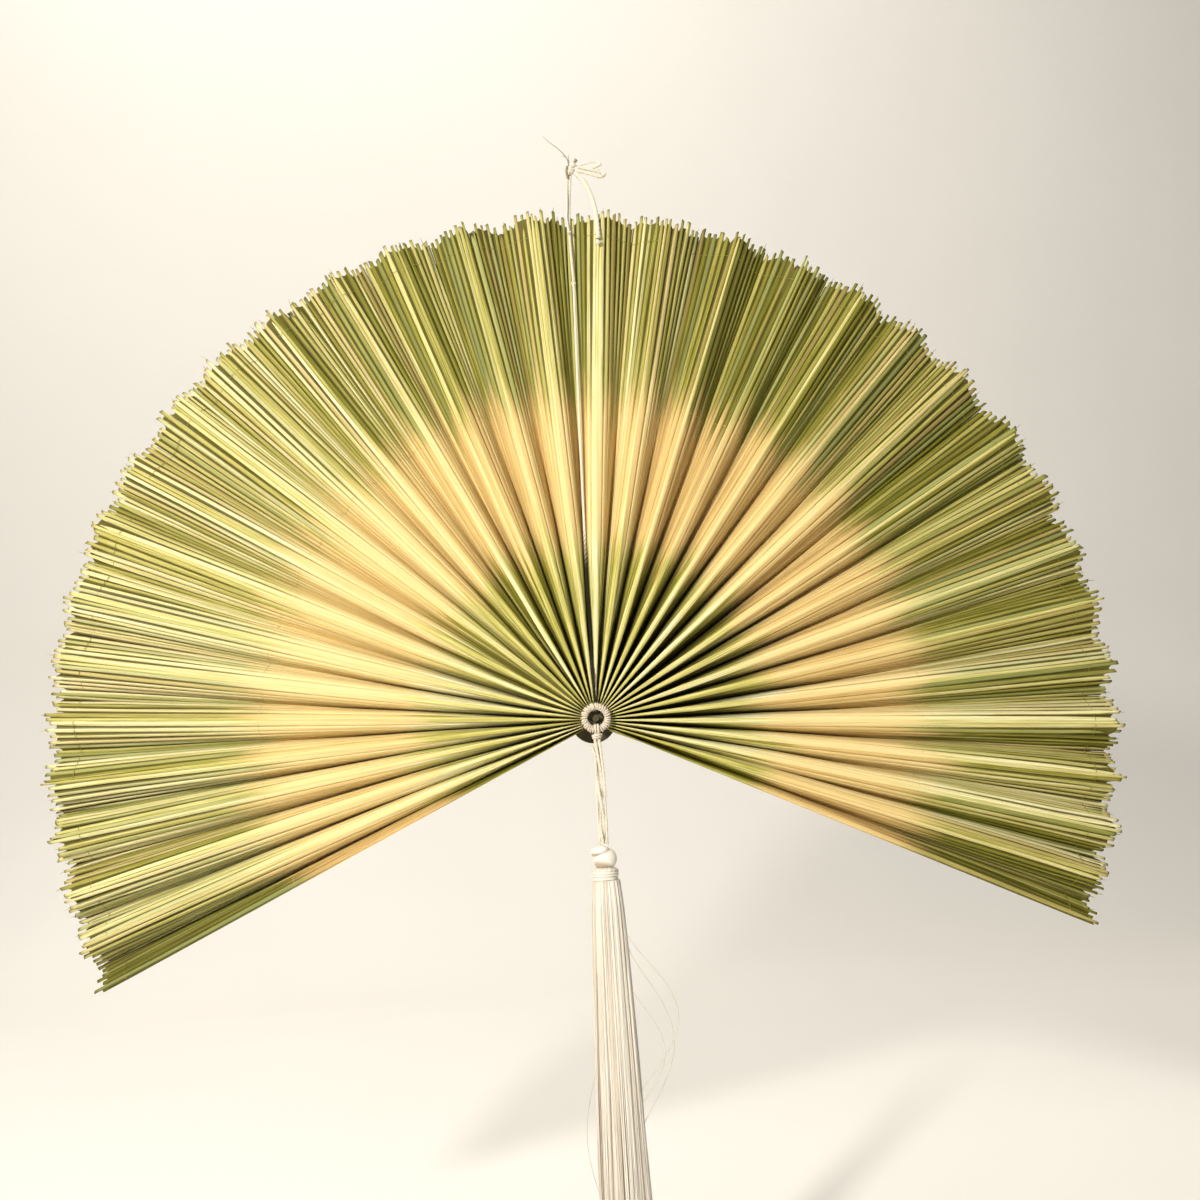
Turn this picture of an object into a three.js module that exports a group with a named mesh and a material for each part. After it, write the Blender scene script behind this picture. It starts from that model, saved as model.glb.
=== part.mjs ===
// A folding fan of split bamboo reeds, opened to two thirds of a circle and hung on a wall by its cord.
// Millimetres. X is to the right, Y goes back to the wall, Z is up.
// The origin is where the cord's bow loop hangs on its nail. The pivot is below it.

import * as THREE from 'three';
import { mergeVertices } from 'three/addons/utils/BufferGeometryUtils.js';

// The pivot's place below the nail
const HUB_X = -8;
const HUB_DROP = 364;

// The mat of reeds
const REED_COUNT = 6;
const REED_WIDTH = 3.5;
const REED_THICKNESS = 0.7;
const TIP_RADIUS = 325;
const TIP_SHORTEST = -4;
const TIP_LONGEST = 4;
const REED_SERIES = 1000;
const EVEN_EDGE = 8;

// The folds: pleats on each side of the middle valley, and the angle that each one opens to
const SIDE_PLEATS = 16;
const PLEATS_PER_LEAF = 4;
const PITCH_MIDDLE = 7.9;
const PITCH_END = 4.9;
const PITCH_FALL = 3;

// The folds aren't all alike: degrees that a ridge may lean to either side
const RIDGE_SWAY = 0.8;
const SIDE_SERIES = 100;

// The stack of folded inner ends round the pivot
const SPINE_RADIUS = 11;
const SPINE_PITCH = 1.5;
const HUB_RIDGE_Y = -9.5;
const HUB_VALLEY_Y = 6.5;
const HUB_SKIN = 0.25;
const FULL_SKIN_AT = 0.1;
const RIM_PANEL = 25.4;

// Where along the creases the sheet has its points, and how far a panel's shoulder bulges out at each.
// The shoulder is where the last reeds of a panel start to lean over the round ridge.
const STATIONS = [0, FULL_SKIN_AT, 0.35, 1];
const SHOULDER_HEIGHTS = [0, 0.7, 2.7, 1.9];
const SHOULDER_REEDS = 2;

// The rib behind each valley: the two reeds that meet there, back to back
const RIB_DEPTH = 4;
const RIB_THICKNESS = 1.2;
const RIB_LENGTH = 300;
const GAP = 0.3;

// The plug through the stack, with its head at the back
const PLUG_RADIUS = 4.2;
const HEAD_RADIUS = 14;
const HEAD_THICKNESS = 2.5;

// The wound ring in front of the stack
const RING_RADIUS = 7;
const RING_HEIGHT = 1.1;
const WRAP_CORD = 0.8;
const WRAP_LOOPS = 24;
const WRAP_RADIUS = 2.05;
const WRAP_END = 0.022;
const WRAP_STEPS = 10;
const WRAP_SIDES = 5;
const RING_Y = -15;
const NOSE_PAST_RING = 0.5;

// The hanging cord and its knot
const CORD = 1.8;
const BOW_CORD = 2.3;
const TAIL_CORD = 3;
const FRAYED_CORD = 0.9;
const KNOT_RADIUS = 3.4;
const KNOT_AT = [-2.6, 0, -9];
const BURR_AT = [-5.2, -3.4, -87];
const BURR_RADIUS = 1.7;
const TAIL_KNOT_AT = [11.6, -11.2, -63];
const TAIL_KNOT_RADIUS = 2.4;

// The tassel
const HITCH_RADIUS = 0.9;
const TASSEL_CORD = 1.7;
const STRAND_SPREAD = 1.15;
const STRAND_TURNS = 1.25;
const BALL_RADIUS = 7;
const BALL_Z = -82;
const COLLAR_RADIUS = 8.2;
const COLLAR_HEIGHT = 5.6;
const SKIRT_TOP_RADIUS = 9.6;
const SKIRT_LENGTH = 200;
const SKIRT_SPREAD = 6;
const SKIRT_FLATNESS = 0.8;
const SKIRT_LOCKS = 11;
const SKIRT_LOCK_DEPTH = 0.7;

// The hitch goes round the ring's bottom, outside the winding
const HITCH_Z = -RING_RADIUS;
const HITCH_BOW = WRAP_RADIUS * RING_HEIGHT + WRAP_CORD / 2 + GAP + HITCH_RADIUS;

const COLOURS = {
  reed: [0xcdb866, 0.62],
  rib: [0xa8914a, 0.66],
  plug: [0x4c4422, 0.55],
  cord: [0xf1e9d6, 0.82],
  winding: [0xefe3c4, 0.85],
  core: [0xb59a63, 0.7],
  tassel: [0xf3ecdc, 0.6],
};

const fan = new THREE.Group();
const hub = new THREE.Group();
hub.position.set(HUB_X, 0, -HUB_DROP);
fan.add(hub);

function add(parent, name, geometry, look) {
  const [colour, roughness] = COLOURS[look];
  const mesh = new THREE.Mesh(geometry, new THREE.MeshStandardMaterial({ color: colour, roughness }));
  mesh.name = name;
  parent.add(mesh);
  return mesh;
}

function mix(a, b, share) {
  return a + (b - a) * share;
}

// A repeatable number from 0 to 1 for reed after reed
function scatter(number) {
  const wave = Math.sin(number * 12.9898 + 4.1) * 43758.5453;
  return wave - Math.floor(wave);
}

function solidFrom(points, triangles) {
  const geometry = new THREE.BufferGeometry();
  geometry.setAttribute('position', new THREE.Float32BufferAttribute(points.flat(), 3));
  geometry.setIndex(triangles.flat());
  geometry.computeVertexNormals();
  return geometry;
}

function ring(corners, a, b) {
  const faces = [];
  for (let i = 0; i < corners; i += 1) {
    const next = (i + 1) % corners;
    faces.push([a + i, a + next, b + next], [a + i, b + next, b + i]);
  }
  return faces;
}

// A tube with closed ends through a list of centres
function tube(centres, radius, sides) {
  const points = [];
  const faces = [];
  const last = centres.length - 1;
  const tangents = centres.map((centre, i) => {
    const before = centres[Math.max(0, i - 1)];
    const after = centres[Math.min(last, i + 1)];
    return after.clone().sub(before).normalize();
  });
  let across = new THREE.Vector3(0, 1, 0);
  if (Math.abs(tangents[0].dot(across)) > 0.9) {
    across = new THREE.Vector3(1, 0, 0);
  }
  centres.forEach((centre, i) => {
    const tangent = tangents[i];
    across.addScaledVector(tangent, -across.dot(tangent)).normalize();
    const other = tangent.clone().cross(across);
    for (let k = 0; k < sides; k += 1) {
      const turn = (2 * Math.PI * k) / sides;
      const point = centre.clone();
      point.addScaledVector(across, radius * Math.cos(turn));
      point.addScaledVector(other, radius * Math.sin(turn));
      points.push(point.toArray());
    }
    if (i > 0) {
      faces.push(...ring(sides, (i - 1) * sides, i * sides));
    }
  });
  for (let k = 1; k < sides - 1; k += 1) {
    faces.push([0, k + 1, k], [last * sides, last * sides + k, last * sides + k + 1]);
  }
  return solidFrom(points, faces);
}

// A tube with flat ends along a smooth curve through chosen points
function cordAlong(points, diameter, steps, sides = 8) {
  const curve = new THREE.CatmullRomCurve3(points.map((point) => new THREE.Vector3(...point)));
  const section = new THREE.Shape();
  for (let k = 0; k < sides; k += 1) {
    const turn = (2 * Math.PI * (k + 0.5)) / sides;
    const x = (diameter / 2) * Math.cos(turn);
    const y = (diameter / 2) * Math.sin(turn);
    if (k === 0) {
      section.moveTo(x, y);
    } else {
      section.lineTo(x, y);
    }
  }
  section.closePath();
  const swept = new THREE.ExtrudeGeometry(section, { steps, extrudePath: curve, curveSegments: 1 });
  swept.deleteAttribute('normal');
  swept.deleteAttribute('uv');
  return mergeVertices(swept, 1e-4);
}

function turned(profile, segments) {
  const points = profile.map(([radius, height]) => new THREE.Vector2(radius, height));
  return new THREE.LatheGeometry(points, segments);
}

// The spine: where each valley's reed starts, which way it points, and where its hinge is
function pitchOf(step) {
  return PITCH_MIDDLE - (PITCH_MIDDLE - PITCH_END) * (step / SIDE_PLEATS) ** PITCH_FALL;
}

function spineWalk() {
  const valleys = [{ x: 0, z: SPINE_RADIUS, angle: 0 }];
  const hinges = [];
  for (let step = 1; step <= SIDE_PLEATS; step += 1) {
    const from = valleys[step - 1];
    const angle = from.angle + THREE.MathUtils.degToRad(pitchOf(step));
    const half = SPINE_PITCH / 2;
    const hinge = {
      x: from.x + half * Math.cos(from.angle),
      z: from.z - half * Math.sin(from.angle),
      angle: (from.angle + angle) / 2,
    };
    hinges.push(hinge);
    valleys.push({ x: hinge.x + half * Math.cos(angle), z: hinge.z - half * Math.sin(angle), angle });
  }
  return { valleys, hinges };
}

// How far a line from a spine point runs before it is a given distance from the pivot
function reach(start, distance) {
  const along = start.x * Math.sin(start.angle) + start.z * Math.cos(start.angle);
  const square = start.x ** 2 + start.z ** 2;
  return -along + Math.sqrt(along ** 2 - square + distance ** 2);
}

const EDGE_RADIUS = TIP_RADIUS - EVEN_EDGE;

function rimDepth(pitch) {
  const across = (EDGE_RADIUS * THREE.MathUtils.degToRad(pitch)) / 2;
  return Math.sqrt(RIM_PANEL ** 2 - across ** 2);
}

// One crease of the mat: a straight line from the stack to the even edge, at the front or at the back
function crease(start, pitch, atFront) {
  const length = reach(start, EDGE_RADIUS);
  return {
    start,
    length,
    innerY: atFront ? HUB_RIDGE_Y : HUB_VALLEY_Y,
    outerY: (atFront ? -0.5 : 0.5) * rimDepth(pitch),
  };
}

// A ridge's line, which leans a little to one side
function swayed(hinge, number) {
  const sway = THREE.MathUtils.degToRad(mix(-RIDGE_SWAY, RIDGE_SWAY, scatter(number)));
  return { ...hinge, angle: hinge.angle + sway };
}

function creasesOfSide(sideNumber) {
  const { valleys, hinges } = spineWalk();
  const creases = [];
  for (let step = 0; step <= SIDE_PLEATS; step += 1) {
    const before = pitchOf(Math.max(step, 1));
    const after = pitchOf(Math.min(step + 1, SIDE_PLEATS));
    creases.push(crease(valleys[step], (before + after) / 2, false));
    if (step < SIDE_PLEATS) {
      creases.push(crease(swayed(hinges[step], sideNumber * SIDE_SERIES + step), after, true));
    }
  }
  const last = valleys[SIDE_PLEATS];
  const lastPitch = THREE.MathUtils.degToRad(PITCH_END);
  const bare = {
    x: last.x + (SPINE_PITCH / 2) * Math.cos(last.angle),
    z: last.z - (SPINE_PITCH / 2) * Math.sin(last.angle),
    angle: last.angle + lastPitch / 2,
  };
  creases.push(crease(bare, PITCH_END, true));
  return creases;
}

function onCrease(line, share, shift = 0) {
  const { x, z, angle } = line.start;
  const along = line.length * share;
  return new THREE.Vector3(
    x + along * Math.sin(angle) + shift * Math.cos(angle),
    mix(line.innerY, line.outerY, share),
    z + along * Math.cos(angle) - shift * Math.sin(angle),
  );
}

// Half of the mat's thickness measured along Y, which grows where the panels stand steeply
function halfSkin(share, line, next) {
  const thickness = share < FULL_SKIN_AT
    ? mix(HUB_SKIN, REED_THICKNESS, share / FULL_SKIN_AT)
    : REED_THICKNESS;
  const a = onCrease(line, share);
  const b = onCrease(next, share);
  const depth = Math.abs(a.y - b.y);
  const across = Math.hypot(a.x - b.x, a.z - b.z);
  return thickness / 2 / (across / Math.hypot(across, depth));
}

// The shoulder of the panel between two creases, at a station
function onShoulder(line, next, station) {
  const share = STATIONS[station];
  const [valley, ridge] = line.innerY > 0 ? [line, next] : [next, line];
  const low = onCrease(valley, share);
  const high = onCrease(ridge, share);
  const angle = (line.start.angle + next.start.angle) / 2;
  const outwards = new THREE.Vector3(Math.sin(angle), 0, Math.cos(angle));
  const front = high.clone().sub(low).cross(outwards).normalize();
  const height = front.y < 0 ? SHOULDER_HEIGHTS[station] : -SHOULDER_HEIGHTS[station];
  return low.lerp(high, 1 - SHOULDER_REEDS / REED_COUNT).addScaledVector(front, height);
}

// A stretch of the folded mat as one sheet, with each reed's tip cut to its own length
function leafGeometry(creases, firstReed) {
  const points = [];
  const faces = [];
  const put = (point, y) => points.push([point.x, y, point.z]) - 1;
  const placed = (point, half) => (
    { point, half, front: put(point, point.y - half), back: put(point, point.y + half) }
  );
  const last = creases.length - 1;
  const shiftOf = (i) => {
    if (i === 0) {
      return GAP / 2;
    }
    return i === last && creases[i].innerY > 0 ? -GAP / 2 : 0;
  };
  const rows = STATIONS.map((share, station) => creases.flatMap((line, i) => {
    const before = creases[i === 0 ? 1 : i - 1];
    const onLine = placed(onCrease(line, share, shiftOf(i)), halfSkin(share, line, before));
    if (i === last) {
      return [onLine];
    }
    const next = creases[i + 1];
    return [onLine, placed(onShoulder(line, next, station), halfSkin(share, line, next))];
  }));
  const edge = rows.length - 1;
  const columns = rows[0].length;
  for (let s = 0; s < edge - 1; s += 1) {
    for (let c = 0; c < columns - 1; c += 1) {
      const [a, b, d, e] = [rows[s][c], rows[s][c + 1], rows[s + 1][c + 1], rows[s + 1][c]];
      faces.push([a.front, b.front, d.front], [a.front, d.front, e.front]);
      faces.push([a.back, d.back, b.back], [a.back, e.back, d.back]);
    }
  }
  for (let s = 0; s < edge; s += 1) {
    const [a, b] = [rows[s][0], rows[s + 1][0]];
    faces.push([a.front, b.front, b.back], [a.front, b.back, a.back]);
    const [c, d] = [rows[s][columns - 1], rows[s + 1][columns - 1]];
    faces.push([c.front, d.back, d.front], [c.front, c.back, d.back]);
  }
  for (let c = 0; c < columns - 1; c += 1) {
    const [a, b] = [rows[0][c], rows[0][c + 1]];
    faces.push([a.front, a.back, b.back], [a.front, b.back, b.front]);
    addTips(c);
  }

  // The last band of the sheet from one column to the next, and the tips of its reeds
  function addTips(c) {
    const panel = Math.floor(c / 2);
    const startsAtCrease = c % 2 === 0;
    const isByValley = creases[startsAtCrease ? panel : panel + 1].innerY > 0;
    const reeds = isByValley ? REED_COUNT - SHOULDER_REEDS : SHOULDER_REEDS;
    const firstHere = startsAtCrease ? 0 : REED_COUNT - reeds;
    const [left, right] = [rows[edge][c], rows[edge][c + 1]];
    const spare = (1 - (REED_COUNT * REED_WIDTH) / RIM_PANEL) / reeds / 2;
    const line = [left];
    for (let reed = 0; reed < reeds; reed += 1) {
      [reed / reeds + spare, (reed + 1) / reeds - spare].forEach((share) => {
        line.push(placed(left.point.clone().lerp(right.point, share), mix(left.half, right.half, share)));
      });
    }
    line.push(right);
    const [innerLeft, innerRight] = [rows[edge - 1][c], rows[edge - 1][c + 1]];
    const middle = reeds;
    for (let k = 0; k < line.length - 1; k += 1) {
      const foot = k < middle ? innerLeft : innerRight;
      faces.push([foot.front, line[k + 1].front, line[k].front]);
      faces.push([foot.back, line[k].back, line[k + 1].back]);
      if (k % 2 === 0) {
        faces.push([line[k].front, line[k + 1].front, line[k + 1].back]);
        faces.push([line[k].front, line[k + 1].back, line[k].back]);
      }
    }
    faces.push([innerLeft.front, innerRight.front, line[middle].front]);
    faces.push([innerLeft.back, line[middle].back, innerRight.back]);
    for (let reed = 0; reed < reeds; reed += 1) {
      const [a, b] = [line[2 * reed + 1], line[2 * reed + 2]];
      addTip(a, b, creases[panel], creases[panel + 1], firstHere + reed, panel);
    }
  }

  function addTip(a, b, line, next, reed, i) {
    const number = firstReed + i * REED_COUNT + reed;
    const angle = mix(line.start.angle, next.start.angle, (reed + 0.5) / REED_COUNT);
    const extra = EVEN_EDGE + mix(TIP_SHORTEST, TIP_LONGEST, scatter(number));
    const lift = new THREE.Vector3(Math.sin(angle) * extra, 0, Math.cos(angle) * extra);
    const [p, q] = [a.point.clone().add(lift), b.point.clone().add(lift)];
    const top = {
      leftFront: put(p, p.y - a.half),
      leftBack: put(p, p.y + a.half),
      rightFront: put(q, q.y - b.half),
      rightBack: put(q, q.y + b.half),
    };
    const quad = (e, f, g, h) => faces.push([e, f, g], [e, g, h]);
    quad(a.front, b.front, top.rightFront, top.leftFront);
    quad(b.front, b.back, top.rightBack, top.rightFront);
    quad(b.back, a.back, top.leftBack, top.rightBack);
    quad(a.back, a.front, top.leftFront, top.leftBack);
    quad(top.leftFront, top.rightFront, top.rightBack, top.leftBack);
  }

  return { points, faces };
}

function mirrored({ points, faces }) {
  return {
    points: points.map(([x, y, z]) => [-x, y, z]),
    faces: faces.map(([a, b, c]) => [a, c, b]),
  };
}

function addLeaves() {
  const perLeaf = 2 * PLEATS_PER_LEAF;
  ['R', 'L'].forEach((side, sideNumber) => {
    const creases = creasesOfSide(sideNumber);
    for (let leaf = 1; leaf * PLEATS_PER_LEAF <= SIDE_PLEATS; leaf += 1) {
      const start = (leaf - 1) * perLeaf;
      const isLast = (leaf + 1) * PLEATS_PER_LEAF > SIDE_PLEATS;
      const end = isLast ? creases.length : start + perLeaf + 1;
      const firstReed = sideNumber * REED_SERIES + start * REED_COUNT;
      const shape = leafGeometry(creases.slice(start, end), firstReed);
      const { points, faces } = side === 'L' ? mirrored(shape) : shape;
      add(hub, `leaf_${side}${leaf}`, solidFrom(points, faces), 'reed');
    }
  });
}

// The rib behind a valley, which the folds on both sides of it turn on
function ribGeometry(line, next, mirror) {
  const share = RIB_LENGTH / line.length;
  const backY = (at) => onCrease(line, at).y + halfSkin(at, line, next) + GAP;
  const points = [];
  [0, share].forEach((at) => {
    const y = backY(at);
    [[-1, 0], [1, 0], [1, 1], [-1, 1]].forEach(([sideways, back]) => {
      const point = onCrease(line, at, (sideways * RIB_THICKNESS) / 2);
      points.push([mirror * point.x, y + back * RIB_DEPTH, point.z]);
    });
  });
  const faces = [...ring(4, 0, 4), [0, 2, 1], [0, 3, 2], [4, 5, 6], [4, 6, 7]];
  return solidFrom(points, mirror < 0 ? faces.map(([a, b, c]) => [a, c, b]) : faces);
}

function addRibs() {
  const [middle, ridge] = creasesOfSide(0);
  add(hub, 'rib_00', ribGeometry(middle, ridge, 1), 'rib');
  [['R', 1], ['L', -1]].forEach(([side, mirror], sideNumber) => {
    const creases = creasesOfSide(sideNumber);
    for (let step = 1; step <= SIDE_PLEATS; step += 1) {
      const name = `rib_${side}${String(step).padStart(2, '0')}`;
      add(hub, name, ribGeometry(creases[2 * step], creases[2 * step - 1], mirror), 'rib');
    }
  });
}

// The back of the stack at the pivot, where the ribs end
function stackBack() {
  const [line, next] = creasesOfSide(0);
  return HUB_VALLEY_Y + halfSkin(0, line, next) + GAP + RIB_DEPTH;
}

// The plug's body ends behind the hitch. Its nose goes on through the ring, inside the hitch's path.
function addPlug() {
  const shoulder = RING_Y + HITCH_BOW + HITCH_RADIUS + GAP;
  const nose = RING_RADIUS - HITCH_BOW - HITCH_RADIUS - GAP;
  const front = RING_Y - NOSE_PAST_RING;
  const head = stackBack() + GAP;
  const profile = [[0, front], [nose, front], [nose, shoulder], [PLUG_RADIUS, shoulder], [PLUG_RADIUS, head],
    [HEAD_RADIUS, head], [HEAD_RADIUS, head + HEAD_THICKNESS], [0, head + HEAD_THICKNESS]];
  add(hub, 'hub_plug', turned(profile, 32), 'plug');
}

// The ring's core, and the winding round it as one unbroken cord with its two ends at the bottom
function addRing() {
  const core = new THREE.TorusGeometry(RING_RADIUS, WRAP_RADIUS - WRAP_CORD / 2 - GAP, 8, 32);
  const coreMesh = add(hub, 'ring_core', core, 'core');
  coreMesh.rotation.x = Math.PI / 2;
  coreMesh.position.y = RING_Y;

  const centres = [];
  const steps = WRAP_LOOPS * WRAP_STEPS;
  for (let i = 0; i <= steps; i += 1) {
    const share = i / steps;
    const round = -Math.PI / 2 + 2 * Math.PI * mix(WRAP_END, 1 - WRAP_END, share);
    const turn = 2 * Math.PI * WRAP_LOOPS * share;
    const out = RING_RADIUS + WRAP_RADIUS * Math.cos(turn);
    centres.push(new THREE.Vector3(
      out * Math.cos(round),
      RING_Y + WRAP_RADIUS * Math.sin(turn) * RING_HEIGHT,
      out * Math.sin(round),
    ));
  }
  let least = Infinity;
  for (let i = 0; i < centres.length; i += 1) {
    for (let k = i + Math.round(WRAP_STEPS / 2); k < centres.length; k += 1) {
      least = Math.min(least, centres[i].distanceTo(centres[k]) - WRAP_CORD);
    }
  }
  console.log(`ring winding: least gap to itself ${least.toFixed(2)} mm`);
  add(hub, 'ring_winding', tube(centres, WRAP_CORD / 2, WRAP_SIDES), 'winding');
}

// The hanging cord and the pieces tied in it
const RING_TOP_Z = -HUB_DROP + RING_RADIUS + WRAP_RADIUS + WRAP_CORD / 2;

const HANGING_ROUTE = [
  [HUB_X, RING_Y, RING_TOP_Z + GAP],
  [HUB_X, -13.6, -344],
  [HUB_X, -10.6, -335],
  [HUB_X, -6.8, -322],
  [HUB_X + 0.05, -4.2, -294],
  [HUB_X + 0.25, -3.6, -264],
  [HUB_X + 0.5, -4, -240],
  [HUB_X + 0.9, -5, -204],
  [HUB_X + 1.45, -6, -160],
  [HUB_X + 2.1, -5.4, -124],
  [BURR_AT[0], BURR_AT[1] - 0.2, BURR_AT[2] - BURR_RADIUS - GAP],
];
const UPPER_ROUTE = [
  [BURR_AT[0], BURR_AT[1] + 0.1, BURR_AT[2] + BURR_RADIUS + GAP],
  [-5.5, -2.2, -70],
  [-5.7, -1.2, -52],
  [-4.6, -0.4, -30],
  [-2.9, 0, KNOT_AT[2] - KNOT_RADIUS - GAP],
];
const TAIL_ROUTE = [
  [KNOT_AT[0] + 3.3, -1.2, KNOT_AT[2] - 2.4],
  [5.4, -2.4, -17.6],
  [9.6, -5.4, -30],
  [11.6, -9, -44],
  [TAIL_KNOT_AT[0] + 0.3, TAIL_KNOT_AT[1] + 0.2, TAIL_KNOT_AT[2] + TAIL_KNOT_RADIUS + GAP],
];
const BOW_ROUTE = [
  [KNOT_AT[0] + KNOT_RADIUS + 2 * GAP, 0.6, KNOT_AT[2]],
  [6, -0.6, -10.4],
  [12.6, -1.3, -13],
  [16.6, -1.2, -14.1],
  [19.3, -0.5, -12.2],
  [16.8, 0.4, -10.1],
  [12.6, 1, -8.6],
  [7, 1.4, -7],
  [2.6, 1.5, -5.6],
];
const FRAYED_ROUTE = [
  [KNOT_AT[0] - 0.8, 0.2, KNOT_AT[2] + KNOT_RADIUS + GAP],
  [-4.4, 0.1, -0.4],
  [-8.8, -0.3, 5.4],
  [-15, -0.5, 10.8],
  [-19.2, -0.8, 14.9],
];

function knot(name, at, radius, squash) {
  const geometry = new THREE.SphereGeometry(radius, 12, 8);
  geometry.scale(1, squash, 1);
  const mesh = add(fan, name, geometry, 'cord');
  mesh.position.set(...at);
}

function addHangingCord() {
  add(fan, 'hanging_cord', cordAlong(HANGING_ROUTE, CORD, 50), 'cord');
  add(fan, 'hanging_cord_top', cordAlong(UPPER_ROUTE, CORD, 16), 'cord');
  add(fan, 'cord_tail', cordAlong(TAIL_ROUTE, TAIL_CORD, 12), 'cord');
  add(fan, 'bow_loop', cordAlong(BOW_ROUTE, BOW_CORD, 24), 'cord');
  add(fan, 'frayed_tail', cordAlong(FRAYED_ROUTE, FRAYED_CORD, 10, 6), 'cord');
  knot('top_knot', KNOT_AT, KNOT_RADIUS, 0.8);
  knot('burr_knot', BURR_AT, BURR_RADIUS, 1);
  knot('tail_knot', TAIL_KNOT_AT, TAIL_KNOT_RADIUS, 0.9);
}

// The tassel hangs from a hitch round the bottom of the ring
function addHitch() {
  const hitch = new THREE.TorusGeometry(HITCH_BOW, HITCH_RADIUS, 8, 24);
  const mesh = add(hub, 'tassel_hitch', hitch, 'cord');
  mesh.rotation.y = Math.PI / 2;
  mesh.position.set(0, RING_Y, HITCH_Z);
}

function addTasselCord() {
  const top = HITCH_Z - HITCH_BOW - HITCH_RADIUS - GAP;
  const bottom = BALL_Z + BALL_RADIUS + GAP;
  [-1, 1].forEach((sideways, index) => {
    const centres = [];
    const steps = 26;
    for (let i = 0; i <= steps; i += 1) {
      const share = i / steps;
      const turn = Math.PI * 2 * STRAND_TURNS * share;
      const shift = STRAND_SPREAD * sideways;
      centres.push(new THREE.Vector3(
        shift * Math.cos(turn),
        RING_Y + shift * Math.sin(turn),
        mix(top, bottom, share),
      ));
    }
    add(hub, `tassel_cord_${index + 1}`, tube(centres, TASSEL_CORD / 2, 8), 'cord');
  });
}

function addTasselHead() {
  const ball = add(hub, 'tassel_ball', new THREE.SphereGeometry(BALL_RADIUS, 20, 12), 'tassel');
  ball.position.set(0, RING_Y, BALL_Z);
  const half = COLLAR_HEIGHT / 2;
  const collarZ = BALL_Z - BALL_RADIUS - GAP - half;
  const profile = [[0, -half], [COLLAR_RADIUS * 0.93, -half], [COLLAR_RADIUS, -half * 0.6],
    [COLLAR_RADIUS * 0.97, 0], [COLLAR_RADIUS, half * 0.6], [COLLAR_RADIUS * 0.88, half], [0, half]];
  const collar = add(hub, 'tassel_collar', turned(profile, 24), 'tassel');
  collar.rotation.x = Math.PI / 2;
  collar.position.set(0, RING_Y, collarZ);
  return collarZ - half - GAP;
}

// The skirt: a closed hank of threads, flatter than it is wide, with shallow locks down its outside
function addSkirt(top) {
  const around = SKIRT_LOCKS * 4;
  const rows = [0, 0.02, 0.08, 0.3, 0.6, 0.85, 1];
  const points = [];
  const faces = [];
  rows.forEach((share, row) => {
    const swell = share < 0.08 ? mix(0.86, 1, share / 0.08) : 1;
    const radius = SKIRT_TOP_RADIUS * swell + SKIRT_SPREAD * share;
    const flat = mix(1, SKIRT_FLATNESS, Math.min(1, share * 3));
    for (let k = 0; k < around; k += 1) {
      const turn = (2 * Math.PI * k) / around;
      const lock = SKIRT_LOCK_DEPTH * Math.cos(SKIRT_LOCKS * turn) * Math.min(1, share * 6);
      points.push([
        (radius + lock) * Math.cos(turn),
        RING_Y + (radius + lock) * flat * Math.sin(turn),
        top - SKIRT_LENGTH * share,
      ]);
    }
    if (row > 0) {
      faces.push(...ring(around, row * around, (row - 1) * around));
    }
  });
  const last = rows.length - 1;
  const topMiddle = points.push([0, RING_Y, top]) - 1;
  const lowMiddle = points.push([0, RING_Y, top - SKIRT_LENGTH]) - 1;
  for (let k = 0; k < around; k += 1) {
    const next = (k + 1) % around;
    faces.push([topMiddle, k, next], [lowMiddle, last * around + next, last * around + k]);
  }
  add(hub, 'tassel_skirt', solidFrom(points, faces), 'tassel');
}

addRibs();
addLeaves();
addPlug();
addRing();
addHangingCord();
addHitch();
addTasselCord();
addSkirt(addTasselHead());

export default fan;
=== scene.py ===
"""The looks of a bamboo folding fan, open on its hanging cord. Metres, in the frame of the solid model."""

import math
import random

import bmesh
import bpy
import numpy as np
from mathutils import Matrix, Vector


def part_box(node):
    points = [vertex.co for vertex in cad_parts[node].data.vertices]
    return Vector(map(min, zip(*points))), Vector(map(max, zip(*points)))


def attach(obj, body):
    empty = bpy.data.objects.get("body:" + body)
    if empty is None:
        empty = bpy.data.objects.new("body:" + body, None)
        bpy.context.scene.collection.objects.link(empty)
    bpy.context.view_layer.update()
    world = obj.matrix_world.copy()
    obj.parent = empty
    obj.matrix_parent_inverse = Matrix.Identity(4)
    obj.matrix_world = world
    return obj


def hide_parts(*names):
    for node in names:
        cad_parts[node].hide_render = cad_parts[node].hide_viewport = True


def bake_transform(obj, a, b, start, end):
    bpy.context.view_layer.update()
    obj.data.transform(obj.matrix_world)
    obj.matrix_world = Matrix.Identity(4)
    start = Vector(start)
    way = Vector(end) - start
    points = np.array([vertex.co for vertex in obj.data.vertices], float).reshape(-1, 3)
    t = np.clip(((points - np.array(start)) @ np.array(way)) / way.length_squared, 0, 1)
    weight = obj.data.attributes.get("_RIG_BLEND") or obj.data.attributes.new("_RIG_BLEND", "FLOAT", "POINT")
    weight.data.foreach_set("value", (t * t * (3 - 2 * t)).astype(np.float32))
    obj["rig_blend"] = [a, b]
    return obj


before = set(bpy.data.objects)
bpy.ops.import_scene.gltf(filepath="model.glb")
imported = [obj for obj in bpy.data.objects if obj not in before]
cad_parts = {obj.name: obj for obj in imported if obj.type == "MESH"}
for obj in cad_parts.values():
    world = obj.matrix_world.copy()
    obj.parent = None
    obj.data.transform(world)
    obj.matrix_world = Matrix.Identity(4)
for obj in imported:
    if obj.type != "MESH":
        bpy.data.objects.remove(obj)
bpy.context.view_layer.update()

MM = 0.001

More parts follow.
